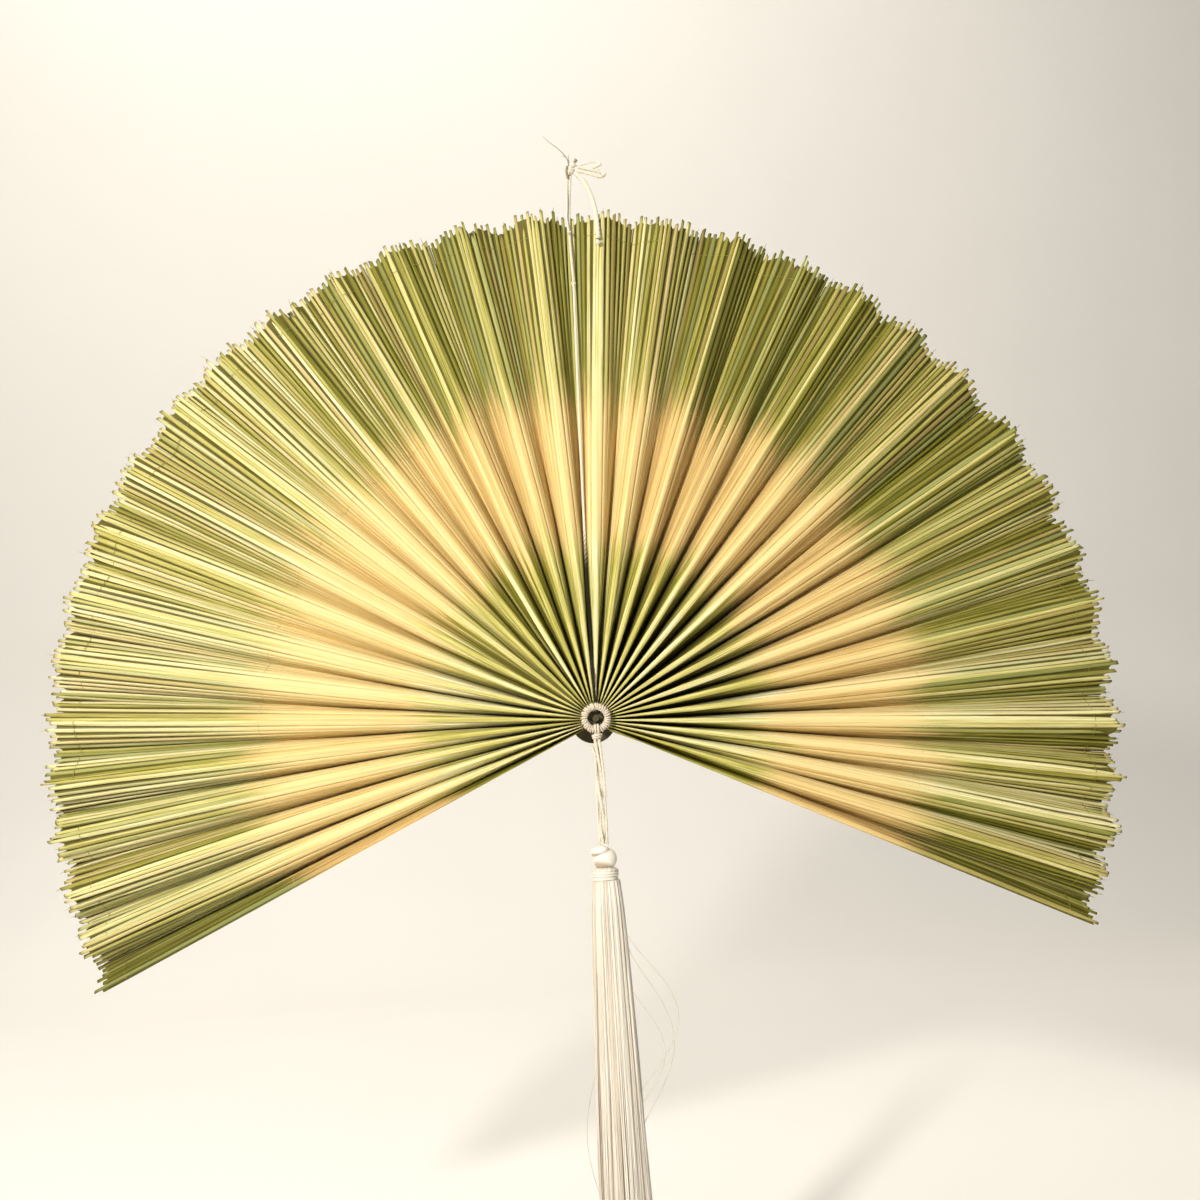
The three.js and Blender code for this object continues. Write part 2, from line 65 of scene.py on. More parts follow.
# The camera: its place from the pivot, its yaw, pitch and roll in degrees, and its lens in millimetres
CAMERA_PLACE = (-0.0435, -0.7939, -0.0402)
CAMERA_ANGLES = (3.69, 8.12, -3.47)
CAMERA_LENS = 39

# The pivot: the middle of the wound ring, and the plane of the folds, whose back is towards the wall
RING_LOW, RING_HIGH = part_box("ring_core")
RING_MIDDLE = (RING_LOW + RING_HIGH) / 2
HUB = np.array([RING_MIDDLE.x, 0, RING_MIDDLE.z])
RING_Y = RING_MIDDLE.y
BACK = np.array([0, 1.0, 0])

# The mat of reeds and its folds, as in the solid model
REEDS_PER_PANEL = 6
TIP_RADIUS = 325 * MM
EVEN_EDGE = 8 * MM
EDGE_RADIUS = TIP_RADIUS - EVEN_EDGE
SIDE_PLEATS = 16
PITCH_MIDDLE = 7.9
PITCH_END = 4.9
PITCH_FALL = 3
SPINE_RADIUS = 11 * MM
SPINE_PITCH = 1.5 * MM
HUB_RIDGE_Y = -9.5 * MM
HUB_VALLEY_Y = 6.5 * MM
RIM_PANEL = 25.4 * MM
RIB_LENGTH = 300 * MM

# The looks of one reed; lengths along it are measured from the pivot
REED_HEIGHT_HUB = 0.3 * MM
REED_HEIGHT_MIDDLE = 0.5 * MM
REED_HEIGHT_RIM = 1.2 * MM
REED_BACK = 0.3 * MM
RIDGE_ROUNDING = 2.7 * MM
RIDGE_SWAY = 0.8
SIDE_SERIES = 100
TIP_SPREAD = 2.7 * MM
BROKEN_SHARE = 0.06
SPLINTER_SHARE = 0.2
SPLINTER_ROOT = 3 * MM
SPLINTER_RADII = np.array([0.2, 0.16, 0.06]) * MM
DYE_OUTER = (0.202, 0.237)
DYE_INNER = (0.135, 0.108)
DYE_SPREAD = 8 * MM
WEB_SINK = 0.08 * MM
CAP_WIDTH = 3.5 * MM
CAP_SHARE = 0.25
CAP_HEIGHT = 0.45 * MM
THREAD_ROWS = (0.62, 0.972)
THREAD_RADIUS = 0.17 * MM
THREAD_LIFT = 0.12 * MM
THREAD_SINK = 0.1 * MM
RIB_DEPTH = 4 * MM
RIB_GAP = 1.3 * MM
RIB_HUB_GAP = 3 * MM
BLEND_OVERLAP = 0.08

# The ring, the cords and the tassel
RING_RADIUS = 7 * MM
RING_LOOPS = 32
RING_STEPS = 16
RING_CORD = 1.3 * MM
WRAP_RADIUS = 2.05 * MM
CORD = 1.8 * MM
# Where the hanging cord gets painted shadow in the middle valley: full up to the first length from the ring,
# gone by the second
CORD_SHADOW_STRETCH = (0.075, 0.115)
TAIL_CORD = 3 * MM
BOW_CORD = 2.3 * MM
FRAYED_CORD = 0.9 * MM
FUZZ_RADIUS = 0.045 * MM
FUZZ_ROOT = 0.1 * MM
KNOT_RADIUS = 3.4 * MM
KNOT_FILL = 0.82
BURR_RADIUS = 1.7 * MM
TAIL_KNOT_RADIUS = 2.4 * MM
TASSEL_CORD = 1.7 * MM
STRAND_SPREAD = 1.15 * MM
STRAND_REACH = 0.3 * MM
SKIRT_LENGTH = 200 * MM
SKIRT_LOCKS = 31
SKIRT_THREADS = 760
SKIRT_FLATNESS = 0.8


def set_camera():
    """The photograph's view: a camera just left of the pivot and below it, tipped up and rolled a little."""
    yaw, pitch, roll = (math.radians(angle) for angle in CAMERA_ANGLES)
    ahead = Vector((math.sin(yaw) * math.cos(pitch), math.cos(yaw) * math.cos(pitch), math.sin(pitch)))
    level = Vector((math.cos(yaw), -math.sin(yaw), 0))
    above = level.cross(ahead)
    right = math.cos(roll) * level + math.sin(roll) * above
    up = -math.sin(roll) * level + math.cos(roll) * above
    camera = bpy.data.objects.new("camera", bpy.data.cameras.new("camera"))
    camera.data.lens = CAMERA_LENS
    camera.data.sensor_width = 36
    camera.data.clip_start = 0.01
    turn = Matrix((right, up, -ahead)).transposed()
    camera.matrix_world = Matrix.Translation(Vector(HUB) + Vector(CAMERA_PLACE)) @ turn.to_4x4()
    bpy.context.scene.collection.objects.link(camera)
    bpy.context.scene.camera = camera


def mix(a, b, t):
    return a + (b - a) * t


def smooth(low, high, value):
    t = np.clip((value - low) / (high - low), 0, 1)
    return t * t * (3 - 2 * t)


def unit(vectors):
    return vectors / np.linalg.norm(vectors, axis=-1, keepdims=True)


def in_mm(*place):
    return np.array(place) * MM


def jitter(dice, reach):
    return np.array([dice.uniform(-reach, reach) for _ in range(3)])


def make_piece(name, points, faces, material, attributes):
    """A smooth-shaded mesh object from points, faces and named vector attributes."""
    mesh = bpy.data.meshes.new(name)
    mesh.from_pydata([tuple(p) for p in points], [], [tuple(f) for f in faces])
    for key, values in attributes.items():
        layer = mesh.attributes.new(key, "FLOAT_VECTOR", "POINT")
        layer.data.foreach_set("vector", np.asarray(values, np.float32).ravel())
    mesh.materials.append(material)
    shell = bmesh.new()
    shell.from_mesh(mesh)
    bmesh.ops.recalc_face_normals(shell, faces=shell.faces)
    shell.to_mesh(mesh)
    shell.free()
    mesh.shade_smooth()
    mesh.update()
    piece = bpy.data.objects.new(name, mesh)
    bpy.context.scene.collection.objects.link(piece)
    return piece


def dress(piece, body, slot, *nodes):
    """Ties a piece to its body, in place of the solid model's nodes; the slot is not used."""
    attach(piece, body)
    if nodes:
        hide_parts(*nodes)


class Shape:
    """Points, faces and attributes, gathered from several parts of one piece."""

    def __init__(self, *keys):
        self.points = []
        self.faces = []
        self.attributes = {key: [] for key in keys}

    def add(self, points, faces, **attributes):
        first = len(self.points)
        self.points.extend(points)
        self.faces.extend([tuple(first + k for k in face) for face in faces])
        for key, values in attributes.items():
            self.attributes[key].extend(values)

    def add_tube(self, rows, **attributes):
        """A closed tube, from rows of points round it."""
        self.add(list(rows.reshape(-1, 3)), tube_faces(*rows.shape[:2]), **attributes)

    def add_rope(self, centres, radius, **lay):
        """A laid cord along a line; its own points are given back."""
        points, faces, places = rope(centres, radius, **lay)
        self.add(points, faces, thread=places)
        return points

    def add_thread(self, centres, radius, sides, lobe, number=0):
        """A smooth thread along a line, with one lobe value all over."""
        points, faces, places = rope(centres, radius, sides=sides, dent=0.0)
        self.add(points, faces, thread=[(along, around + number, lobe) for along, around, _ in places])

    def piece(self, name, material):
        return make_piece(name, self.points, self.faces, material, self.attributes)


def tube_faces(rings, sides):
    faces = []
    for i in range(rings - 1):
        for k in range(sides):
            after = (k + 1) % sides
            a, b = i * sides, (i + 1) * sides
            faces.append((a + k, a + after, b + after, b + k))
    faces.append(tuple(reversed(range(sides))))
    faces.append(tuple(range((rings - 1) * sides, rings * sides)))
    return faces


def curve_through(route, count):
    """Points on the curve that the solid model's cords follow: a centripetal Catmull-Rom spline."""
    points = [np.array(p, float) for p in route]
    points = [2 * points[0] - points[1]] + points + [2 * points[-1] - points[-2]]
    spans = len(route) - 1
    out = []
    for place in np.linspace(0, spans, count):
        k = min(int(place), spans - 1)
        p0, p1, p2, p3 = points[k:k + 4]
        d0, d1, d2 = (max(np.linalg.norm(b - a), 1e-9) ** 0.5 for a, b in ((p0, p1), (p1, p2), (p2, p3)))
        slope1 = ((p1 - p0) / d0 - (p2 - p0) / (d0 + d1) + (p2 - p1) / d1) * d1
        slope2 = ((p2 - p1) / d1 - (p3 - p1) / (d1 + d2) + (p3 - p2) / d2) * d1
        t = place - k
        out.append(p1 + slope1 * t + (-3 * p1 + 3 * p2 - 2 * slope1 - slope2) * t ** 2
                   + (2 * p1 - 2 * p2 + slope1 + slope2) * t ** 3)
    return np.array(out)


def frames_along(centres):
    """A pair of crosswise directions at each point of a line, turning as little as they can."""
    ahead = unit(np.gradient(centres, axis=0))
    start = BACK if abs(ahead[0][1]) < 0.9 else np.array([1.0, 0, 0])
    side = np.cross(ahead[0], start)
    sides = []
    for direction in ahead:
        side = side - direction * np.dot(side, direction)
        side = side / np.linalg.norm(side)
        sides.append(side)
    sides = np.array(sides)
    return sides, np.cross(ahead, sides)


def length_along(centres):
    steps = np.linalg.norm(np.diff(centres, axis=0), axis=1)
    return np.concatenate([[0], np.cumsum(steps)])


def rope(centres, radius, plies=2, lay=7 * MM, dent=0.22, sides=12):
    """A laid cord along a line: points, faces and where each point lies on it."""
    centres = np.asarray(centres, float)
    across, over = frames_along(centres)
    along = length_along(centres)
    radius = np.broadcast_to(radius, len(centres))
    points, places = [], []
    for i, centre in enumerate(centres):
        twist = 2 * math.pi * along[i] / lay
        for k in range(sides):
            turn = 2 * math.pi * k / sides
            lobe = abs(math.cos(plies / 2 * (turn - twist)))
            size = radius[i] * (1 - dent * (1 - lobe) ** 1.5)
            points.append(centre + size * (math.cos(turn) * across[i] + math.sin(turn) * over[i]))
            places.append((along[i], (turn - twist) / (2 * math.pi), lobe))
    return points, tube_faces(len(centres), sides), places


def rope_piece(name, centres, radius, material, shadow_stretch=None, **lay):
    """One cord. It gets painted shadow up to one length, fading out by another, with lobe values below zero
    there.
    """
    points, faces, places = rope(centres, radius, **lay)
    if shadow_stretch:
        places = [(a, b, lobe - 2 * float(1 - smooth(*shadow_stretch, a))) for a, b, lobe in places]
    return make_piece(name, points, faces, material, {"thread": places})


def add_fuzz(shape, points, middle, count, reach, dice):
    """Fine hairs that stand out from a cord's surface, away from a middle point or line."""
    for _ in range(count):
        root = np.asarray(dice.choice(points))
        out = unit(unit(root - middle(root)) + jitter(dice, 0.9))
        bend = jitter(dice, 0.4)
        size = reach * dice.uniform(0.4, 1)
        line = np.array([root - FUZZ_ROOT * out, root + 0.5 * size * out, root + size * unit(out + bend)])
        shape.add_thread(line, FUZZ_RADIUS, sides=3, lobe=0.9)


def knot_piece(name, middle, radius, thickness, material, lean, wraps=1, tall=1.0):
    """A pulled-tight knot: a trefoil of the cord, with turns of it round the waist."""
    shape = Shape("thread")
    waist = radius - thickness
    turns = np.linspace(0, 2 * math.pi, 60)
    line = np.stack([np.sin(turns) + 2 * np.sin(2 * turns),
                     0.9 * -np.sin(3 * turns),
                     np.cos(turns) - 2 * np.cos(2 * turns)], axis=1)
    shape.add_rope(line * waist / 3 * (1, 1, tall), thickness, sides=10, lay=5 * MM)
    turns = np.linspace(0, 2 * math.pi, 33)
    for wrap in range(wraps):
        height = (wrap - (wraps - 1) / 2) * thickness * 1.7
        loop = np.stack([waist * KNOT_FILL * np.cos(turns), waist * KNOT_FILL * np.sin(turns),
                         height + 0.25 * thickness * np.sin(turns)], axis=1)
        shape.add_rope(loop, thickness, sides=10, lay=5 * MM)
    turn = np.array(Matrix.Rotation(lean, 3, "Y"))
    shape.points = [np.asarray(middle) + turn @ p for p in shape.points]
    return shape.piece(name, material)


# Materials


class Paint:
    """A material with its nodes laid out by short calls."""

    def __init__(self, name):
        self.material = bpy.data.materials.new(name)
        self.material.use_nodes = True
        self.nodes = self.material.node_tree.nodes
        self.links = self.material.node_tree.links
        self.shader = self.nodes["Principled BSDF"]

    def put(self, value, socket):
        if isinstance(value, (int, float, tuple)):
            socket.default_value = value
        else:
            self.links.new(value, socket)

    def node(self, kind, inputs, **settings):
        node = self.nodes.new("ShaderNode" + kind)
        for name, value in settings.items():
            setattr(node, name, value)
        for socket, value in inputs.items():
            self.put(value, node.inputs[socket])
        return node

    def attribute(self, name):
        node = self.node("Attribute", {}, attribute_name=name)
        return self.node("SeparateXYZ", {0: node.outputs["Vector"]}).outputs

    def maths(self, operation, *values):
        return self.node("Math", dict(enumerate(values)), operation=operation).outputs[0]

    def times(self, a, b):
        return self.maths("MULTIPLY", a, b)

    def times_plus(self, a, b, c):
        return self.maths("MULTIPLY_ADD", a, b, c)

    def vector(self, *parts):
        return self.node("CombineXYZ", dict(enumerate(parts))).outputs[0]

    def scaled(self, parts, *factors):
        """A place with each of its parts scaled, so that the noise on it runs long one way."""
        return self.vector(*(self.times(part, factor) for part, factor in zip(parts, factors)))

    def object_place(self):
        return self.nodes.new("ShaderNodeTexCoord").outputs["Object"]

    def noise(self, place, scale=1.0, detail=3.0, roughness=0.5):
        inputs = {"Vector": place, "Scale": scale, "Detail": detail, "Roughness": roughness}
        return self.node("TexNoise", inputs).outputs["Fac"]

    def ramp(self, value, low, high, from_value=0.0, to_value=1.0):
        inputs = {"Value": value, "From Min": low, "From Max": high, "To Min": from_value, "To Max": to_value}
        return self.node("MapRange", inputs, interpolation_type="SMOOTHSTEP").outputs["Result"]

    def colours(self, value, *stops):
        node = self.node("ValToRGB", {0: value})
        elements = node.color_ramp.elements
        while len(elements) < len(stops):
            elements.new(0.5)
        for element, (place, colour) in zip(elements, stops):
            element.position = place
            element.color = (*colour, 1)
        return node.outputs[0]

    def blend(self, share, a, b):
        """A mix of two colours, which are inputs 6 and 7 of this node; their mix is output 2."""
        return self.node("Mix", {"Factor": share, 6: a, 7: b}, data_type="RGBA").outputs[2]

    def bump(self, height, strength, distance):
        node = self.node("Bump", {"Strength": strength, "Distance": distance, "Height": height})
        self.put(node.outputs[0], self.shader.inputs["Normal"])

    def finish(self, colour, roughness, specular=0.4, **sockets):
        self.put(colour, self.shader.inputs["Base Color"])
        self.put(roughness, self.shader.inputs["Roughness"])
        self.shader.inputs["Specular IOR Level"].default_value = specular
        for name, value in sockets.items():
            self.shader.inputs[name.replace("_", " ")].default_value = value
        return self.material


def reed_material():
    """Split bamboo, dyed at the rim and round the pivot, with its fibres along each reed; the look's third
    value paints shade into the gaps, the folds and the tips.
    """
    paint = Paint("split_bamboo")
    reed = paint.attribute("reed")
    along, number, _ = reed
    tone, shift, painted_shade = paint.attribute("look")
    fibres = paint.noise(paint.scaled(reed, 22.0, 7.3, 3.4), detail=4.0, roughness=0.62)
    blotch = paint.noise(paint.scaled(reed, 30.0, 3.1, 0.0), detail=2.0)
    place = paint.maths("ADD", along, paint.times_plus(blotch, 0.03, shift))
    outer = paint.ramp(place, *DYE_OUTER)
    inner = paint.ramp(place, *DYE_INNER)
    shade = paint.times_plus(fibres, 1.05, paint.times_plus(tone, 0.6, -0.32))
    bare = paint.colours(shade, (0.1, (0.38, 0.24, 0.085)), (0.4, (0.61, 0.435, 0.165)),
                         (0.8, (0.74, 0.60, 0.29)))
    green = paint.colours(shade, (0.1, (0.06, 0.060, 0.005)), (0.36, (0.20, 0.19, 0.020)),
                          (0.62, (0.49, 0.44, 0.14)), (0.9, (0.79, 0.73, 0.43)))
    olive = paint.colours(shade, (0.1, (0.05, 0.05, 0.003)), (0.36, (0.21, 0.20, 0.012)),
                          (0.60, (0.49, 0.45, 0.12)), (0.88, (0.82, 0.77, 0.53)))
    batch = paint.noise(paint.vector(number, 0.0, 0.0), scale=2.3, detail=0.0)
    green = paint.blend(paint.ramp(batch, 0.54, 0.66, 0.0, 0.55), green, (0.24, 0.27, 0.10, 1))
    green = paint.blend(paint.ramp(batch, 0.42, 0.33, 0.0, 0.45), green, (0.42, 0.30, 0.13, 1))
    colour = paint.blend(paint.times(inner, 0.95), paint.blend(outer, bare, green), olive)
    hairs = paint.noise(paint.scaled(reed, 5.0, 13.7, 5.5), detail=2.0)
    colour = paint.blend(paint.ramp(hairs, 0.42, 0.33, 0.0, 0.5), colour, (0.24, 0.175, 0.05, 1))
    # Painted shade: the look's third value darkens the colour towards a near-black gap colour, darkest near
    # the pivot
    dark = paint.ramp(painted_shade, 0.2, 0.95)
    gap = paint.blend(paint.ramp(along, 0.14, 0.24), (0.030, 0.024, 0.003, 1), (0.075, 0.064, 0.010, 1))
    colour = paint.blend(paint.times(dark, 0.9), colour, gap)
    paint.bump(fibres, 0.35, 0.0004)
    return paint.finish(colour, paint.ramp(fibres, 0.3, 0.75, 0.55, 0.75), specular=0.15)


def cotton_material(name, light, dark):
    """Twisted cotton: fibres along each ply, painted shade between the plies, painted shadow where lobe
    values fall below zero, a soft nap.
    """
    paint = Paint(name)
    thread = paint.attribute("thread")
    along, _, lobe = thread
    fibres = paint.noise(paint.scaled(thread, 900.0, 9.0, 1.0), detail=4.0)
    stains = paint.noise(paint.vector(paint.times(along, 60.0), 0.3, 0.7), detail=2.0)
    wear = paint.times_plus(stains, 0.5, paint.times_plus(fibres, 0.45, -0.05))
    # Painted shade between the plies, where the lobe value is low
    between = paint.ramp(lobe, 0.02, 0.42)
    shade = paint.times(paint.times_plus(between, 0.5, 0.5), paint.maths("ADD", wear, 0.55))
    colour = paint.colours(shade, (0.3, dark), (0.85, light))
    # Lobe values below zero: painted shadow, near black, on the cord where it lies deep in the middle valley
    colour = paint.blend(paint.ramp(lobe, -0.1, -1.0), colour, (0.010, 0.008, 0.002, 1))
    paint.bump(fibres, 0.5, 0.0002)
    return paint.finish(colour, 0.85, specular=0.15, Sheen_Weight=0.15, Sheen_Roughness=0.5)


def silk_material(name, light, dark):
    """Glossy thread of the tassel: fine lines along each thread and a soft shine."""
    paint = Paint(name)
    thread = paint.attribute("thread")
    lines = paint.noise(paint.scaled(thread, 30.0, 40.0, 1.0), detail=3.0)
    shade = paint.times_plus(lines, 0.6, paint.times(thread[2], 0.55))
    colour = paint.colours(shade, (0.15, dark), (0.75, light))
    paint.bump(lines, 0.3, 0.0002)
    roughness = paint.ramp(lines, 0.2, 0.8, 0.38, 0.55)
    return paint.finish(colour, roughness, specular=0.45, Sheen_Weight=0.2, Sheen_Roughness=0.4)


def plug_material():
    """Olive lacquered wood, turned, with faint rings and scuffs; its near-black colour is partly its own,
    partly painted shade round the hub.
    """
    paint = Paint("plug_wood")
    place = paint.object_place()
    grain = paint.noise(place, scale=260.0, detail=5.0, roughness=0.6)
    scuffs = paint.noise(place, scale=900.0, detail=2.0)
    shade = paint.times_plus(scuffs, 0.3, paint.times(grain, 0.8))
    # Near black: the wood's own dark olive, deepened as painted shade for the shadow round the hub
    colour = paint.colours(shade, (0.3, (0.022, 0.017, 0.005)), (0.7, (0.070, 0.055, 0.017)))
    paint.bump(grain, 0.25, 0.0003)
    return paint.finish(colour, paint.ramp(scuffs, 0.3, 0.7, 0.4, 0.6))


def cane_material():
    """Bare cane of the ring's core."""
    paint = Paint("ring_cane")
    grain = paint.noise(paint.object_place(), scale=700.0, detail=4.0)
    colour = paint.colours(grain, (0.3, (0.34, 0.22, 0.09)), (0.7, (0.62, 0.45, 0.22)))
    paint.bump(grain, 0.2, 0.0002)
    return paint.finish(colour, 0.6)


def stage_material(name, light, dark):
    """Pale matt studio paper."""
    paint = Paint(name)
    grain = paint.noise(paint.object_place(), scale=3.0, detail=2.0)
    return paint.finish(paint.colours(grain, (0.3, dark), (0.7, light)), 0.9, specular=0.1)


# The hanging cord, its knots and loose ends

CORD_ROUTE = [
    (-8, -15, -354.25), (-8, -13.6, -344), (-8, -10.6, -335), (-8, -6.8, -322), (-7.95, -4.2, -294),
    (-7.75, -3.6, -264), (-7.5, -4, -240), (-7.1, -5, -204), (-6.55, -6, -160), (-5.9, -5.4, -124),
    (-5.2, -3.6, -89), (-5.2, -3.3, -85), (-5.5, -2.2, -70), (-5.7, -1.2, -52), (-4.6, -0.4, -30),
    (-2.9, 0, -12.7),
]
TAIL_ROUTE = [(0.7, -1.2, -11.4), (5.4, -2.4, -17.6), (9.6, -5.4, -30), (11.6, -9, -44), (11.9, -11, -60.3)]
BOW_ROUTE = [(1.4, 0.6, -9), (6, -0.6, -10.4), (12.6, -1.3, -13), (16.6, -1.2, -14.1), (19.3, -0.5, -12.2),
             (16.8, 0.4, -10.1), (12.6, 1, -8.6), (7, 1.4, -7), (2.6, 1.5, -5.6)]
FRAYED_ROUTE = [(-3.4, 0.2, -5.3), (-4.4, 0.1, -0.4), (-8.8, -0.3, 5.4), (-15, -0.5, 10.8),
                (-19.2, -0.8, 14.9)]

# Trim that only shows here: a second strand down to a small bump, and thin ends at the knot, each with its
# route, how many points are drawn along it, its radius at both ends, its lay and whether its cotton is the
# darker one
DOUBLE_ROUTE = [(-4.2, 0.2, -11.5), (-5.6, -1.4, -20), (-6.2, -2.2, -32), (-6.9, -2.4, -42),
                (-6.3, -3.0, -51)]
THIN_ENDS = [
    ("dark_end", [(-0.8, 0.6, -4.4), (0.4, 0.8, -2.6), (1.6, 0.9, -0.9)], 20, 0.6, 1.25, 4, True),
    ("knot_side_strand", [(-4.6, -1.2, -6.2), (-5.3, -1.5, -9), (-5.2, -1.5, -12), (-4.5, -1.2, -15)],
     30, 0.75, 0.75, 4, True),
    ("thin_end", [(1.8, 1.2, -5), (5.4, 1.6, -4.2), (11, 1.2, -2.9), (15.6, 0.6, -3.6), (17.6, 0.2, -5.4)],
     60, 0.5, 0.5, 4, False),
    ("cut_end", [(11.6, 0.4, -7.0), (14.4, -0.4, -6.6), (17.2, -0.8, -4.8)], 24, 0.9, 1.25, 6, False),
    ("frayed_branch", [(-3.2, 0.2, -3.4), (-3.4, 0.3, 0.6), (-2.8, 0.4, 2.6)], 20, 0.3, 0.1, 4, True),
    ("frayed_twig", [(-4.6, 0.1, 0.2), (-6.4, 0.3, 1.6), (-7.6, 0.4, 1.5)], 20, 0.3, 0.1, 4, True),
]


def route(points, count):
    return curve_through([[v * MM for v in p] for p in points], count)


def middle_of(node):
    low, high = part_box(node)
    return (low + high) / 2


def add_knot_trim(cotton, dark_cotton):
    """The second strand, the smaller turns and the thin ends at the top knot."""
    line = route(DOUBLE_ROUTE, 120)
    trim = [
        rope_piece("second_strand", line, 0.8 * MM, cotton, lay=6 * MM),
        knot_piece("second_strand_knot", line[-1] + in_mm(0.3, 0, -1.2), 1.5 * MM, 0.5 * MM, cotton, 0.3),
        knot_piece("knot_upper_turns", in_mm(-0.4, 0.8, -4.6), 2.0 * MM, 0.8 * MM, cotton, 0.7),
        knot_piece("knot_lower_turns", in_mm(-4.3, -0.5, -12.2), 1.3 * MM, 0.5 * MM, dark_cotton, 0.2),
    ]
    for name, points, count, start, end, lay, darker in THIN_ENDS:
        trim.append(rope_piece(name, route(points, count), np.linspace(start, end, count) * MM,
                               dark_cotton if darker else cotton, lay=lay * MM))
    return trim


def add_hanging_cord(cotton, dark_cotton):
    top_knot = knot_piece("top_knot_turns", middle_of("top_knot"), KNOT_FILL * KNOT_RADIUS, 0.95 * MM, cotton,
                          0.4, 2, 1.6)
    burr = knot_piece("burr_knot_turns", middle_of("burr_knot"), BURR_RADIUS, 0.55 * MM, cotton, 0.2)
    line = route(CORD_ROUTE, 361)
    cord = rope_piece("hanging_cord_laid", line, CORD / 2, cotton, lay=6 * MM, shadow_stretch=CORD_SHADOW_STRETCH)
    trim = add_knot_trim(cotton, dark_cotton)
    bow_line = route(BOW_ROUTE, 145)
    bow = rope_piece("bow_loop_laid", bow_line, BOW_CORD / 2, cotton, lay=7 * MM)
    tail_line = route(TAIL_ROUTE, 121)
    tail = rope_piece("cord_tail_laid", tail_line, TAIL_CORD / 2, cotton, plies=3, lay=9 * MM)
    tail_knot = knot_piece("tail_knot_turns", middle_of("tail_knot"), KNOT_FILL * TAIL_KNOT_RADIUS,
                           0.75 * MM, cotton, 0.3)
    thinning = np.linspace(FRAYED_CORD / 2, 0.12 * MM, 60)
    frayed = rope_piece("frayed_tail_laid", route(FRAYED_ROUTE, 60), thinning, dark_cotton, lay=4 * MM)
    for piece, *nodes in ((top_knot, "top_knot"), (burr, "burr_knot"), (bow, "bow_loop"), (tail, "cord_tail"),
                          (cord, "hanging_cord", "hanging_cord_top"), (tail_knot, "tail_knot"),
                          (frayed, "frayed_tail")):
        dress(piece, "hub", "cord", *nodes)
    for piece in trim:
        dress(piece, "hub", "cord")


# The folded mat


def pitch_of(step):
    return math.radians(PITCH_MIDDLE - (PITCH_MIDDLE - PITCH_END) * (step / SIDE_PLEATS) ** PITCH_FALL)


def spine_walk():
    """Where each valley starts and points, and where each fold's hinge is, from the middle to the right."""
    valleys = [(0.0, SPINE_RADIUS, 0.0)]
    hinges = []
    half = SPINE_PITCH / 2
    for step in range(1, SIDE_PLEATS + 1):
        x, z, before = valleys[-1]
        after = before + pitch_of(step)
        hinge_x, hinge_z = x + half * math.cos(before), z - half * math.sin(before)
        hinges.append((hinge_x, hinge_z, (before + after) / 2))
        valleys.append((hinge_x + half * math.cos(after), hinge_z - half * math.sin(after), after))
    return valleys, hinges


def scatter(number):
    """The solid model's repeatable number from 0 to 1."""
    wave = math.sin(number * 12.9898 + 4.1) * 43758.5453
    return wave - math.floor(wave)


class Crease:
    """One crease of the mat: a straight line from the stack to the even edge."""

    def __init__(self, start, pitch, at_front, side, sway=0.0):
        x, z, angle = start
        angle += math.radians(sway)
        along = x * math.sin(angle) + z * math.cos(angle)
        self.length = -along + math.sqrt(along ** 2 - x ** 2 - z ** 2 + EDGE_RADIUS ** 2)
        rim_depth = math.sqrt(RIM_PANEL ** 2 - (EDGE_RADIUS * pitch / 2) ** 2) / 2
        inner_y = HUB_RIDGE_Y if at_front else HUB_VALLEY_Y
        outer_y = -rim_depth if at_front else rim_depth
        self.start = HUB + np.array([side * x, inner_y, z])
        self.ahead = np.array([side * math.sin(angle), 0, math.cos(angle)])
        self.step = self.ahead * self.length + np.array([0, outer_y - inner_y, 0])

    def at(self, share):
        return self.start + np.multiply.outer(share, self.step)


def side_creases(side):
    """The creases from the middle valley outwards: valley, ridge, valley, to the bare end's edge."""
    valleys, hinges = spine_walk()
    series = 0 if side > 0 else SIDE_SERIES
    creases = []
    for step in range(SIDE_PLEATS + 1):
        pitch = (pitch_of(max(step, 1)) + pitch_of(min(step + 1, SIDE_PLEATS))) / 2
        creases.append(Crease(valleys[step], pitch, False, side))
        if step < SIDE_PLEATS:
            sway = mix(-RIDGE_SWAY, RIDGE_SWAY, scatter(series + step))
            creases.append(Crease(hinges[step], pitch_of(step + 1), True, side, sway))
    x, z, angle = valleys[SIDE_PLEATS]
    end = (x + SPINE_PITCH / 2 * math.cos(angle), z - SPINE_PITCH / 2 * math.sin(angle),
           angle + math.radians(PITCH_END) / 2)
    creases.append(Crease(end, math.radians(PITCH_END), True, side))
    return creases


# Places along a reed, as shares of the way to the even edge; then those past that edge, as shares of the
# length of the reed's tip, and how much painted shade its cut end gets at each
STATIONS = np.array([-0.008, 0.03, 0.08, 0.15, 0.23, 0.32, 0.42, 0.52, 0.62, 0.72, 0.82, 0.9, 0.955, 0.985,
                     1.004])
TIP_STATIONS = np.array([0.55, 0.85, 1.0])
TIP_DARKNESS = [0.2, 0.5, 0.85]

# The factor that brings the highest point of share ** 2 * (1 - share) to 1
BULGE_GAIN = 6.75


def stations_to(tip):
    stations = np.concatenate([STATIONS, 1 + TIP_STATIONS * tip / EDGE_RADIUS])
    return stations, [0.0] * len(STATIONS) + TIP_DARKNESS


def near_rim(radius):
    """From 0, where the reeds have the form they have in the middle, to 1 for their form at the rim."""
    return smooth(0.12, 0.3, radius)


def gap_shade_share(radius):
    """From 0, where the reeds lie close, to 1, where the gaps between them get their full painted shade."""
    return smooth(0.13, 0.28, radius)


def pointed(stations, dice):
    """How much of its width a reed keeps out to its tip."""
    return 1 - (1 - dice.uniform(0.45, 0.9)) * smooth(0.985, 1.02, stations)[:, None]


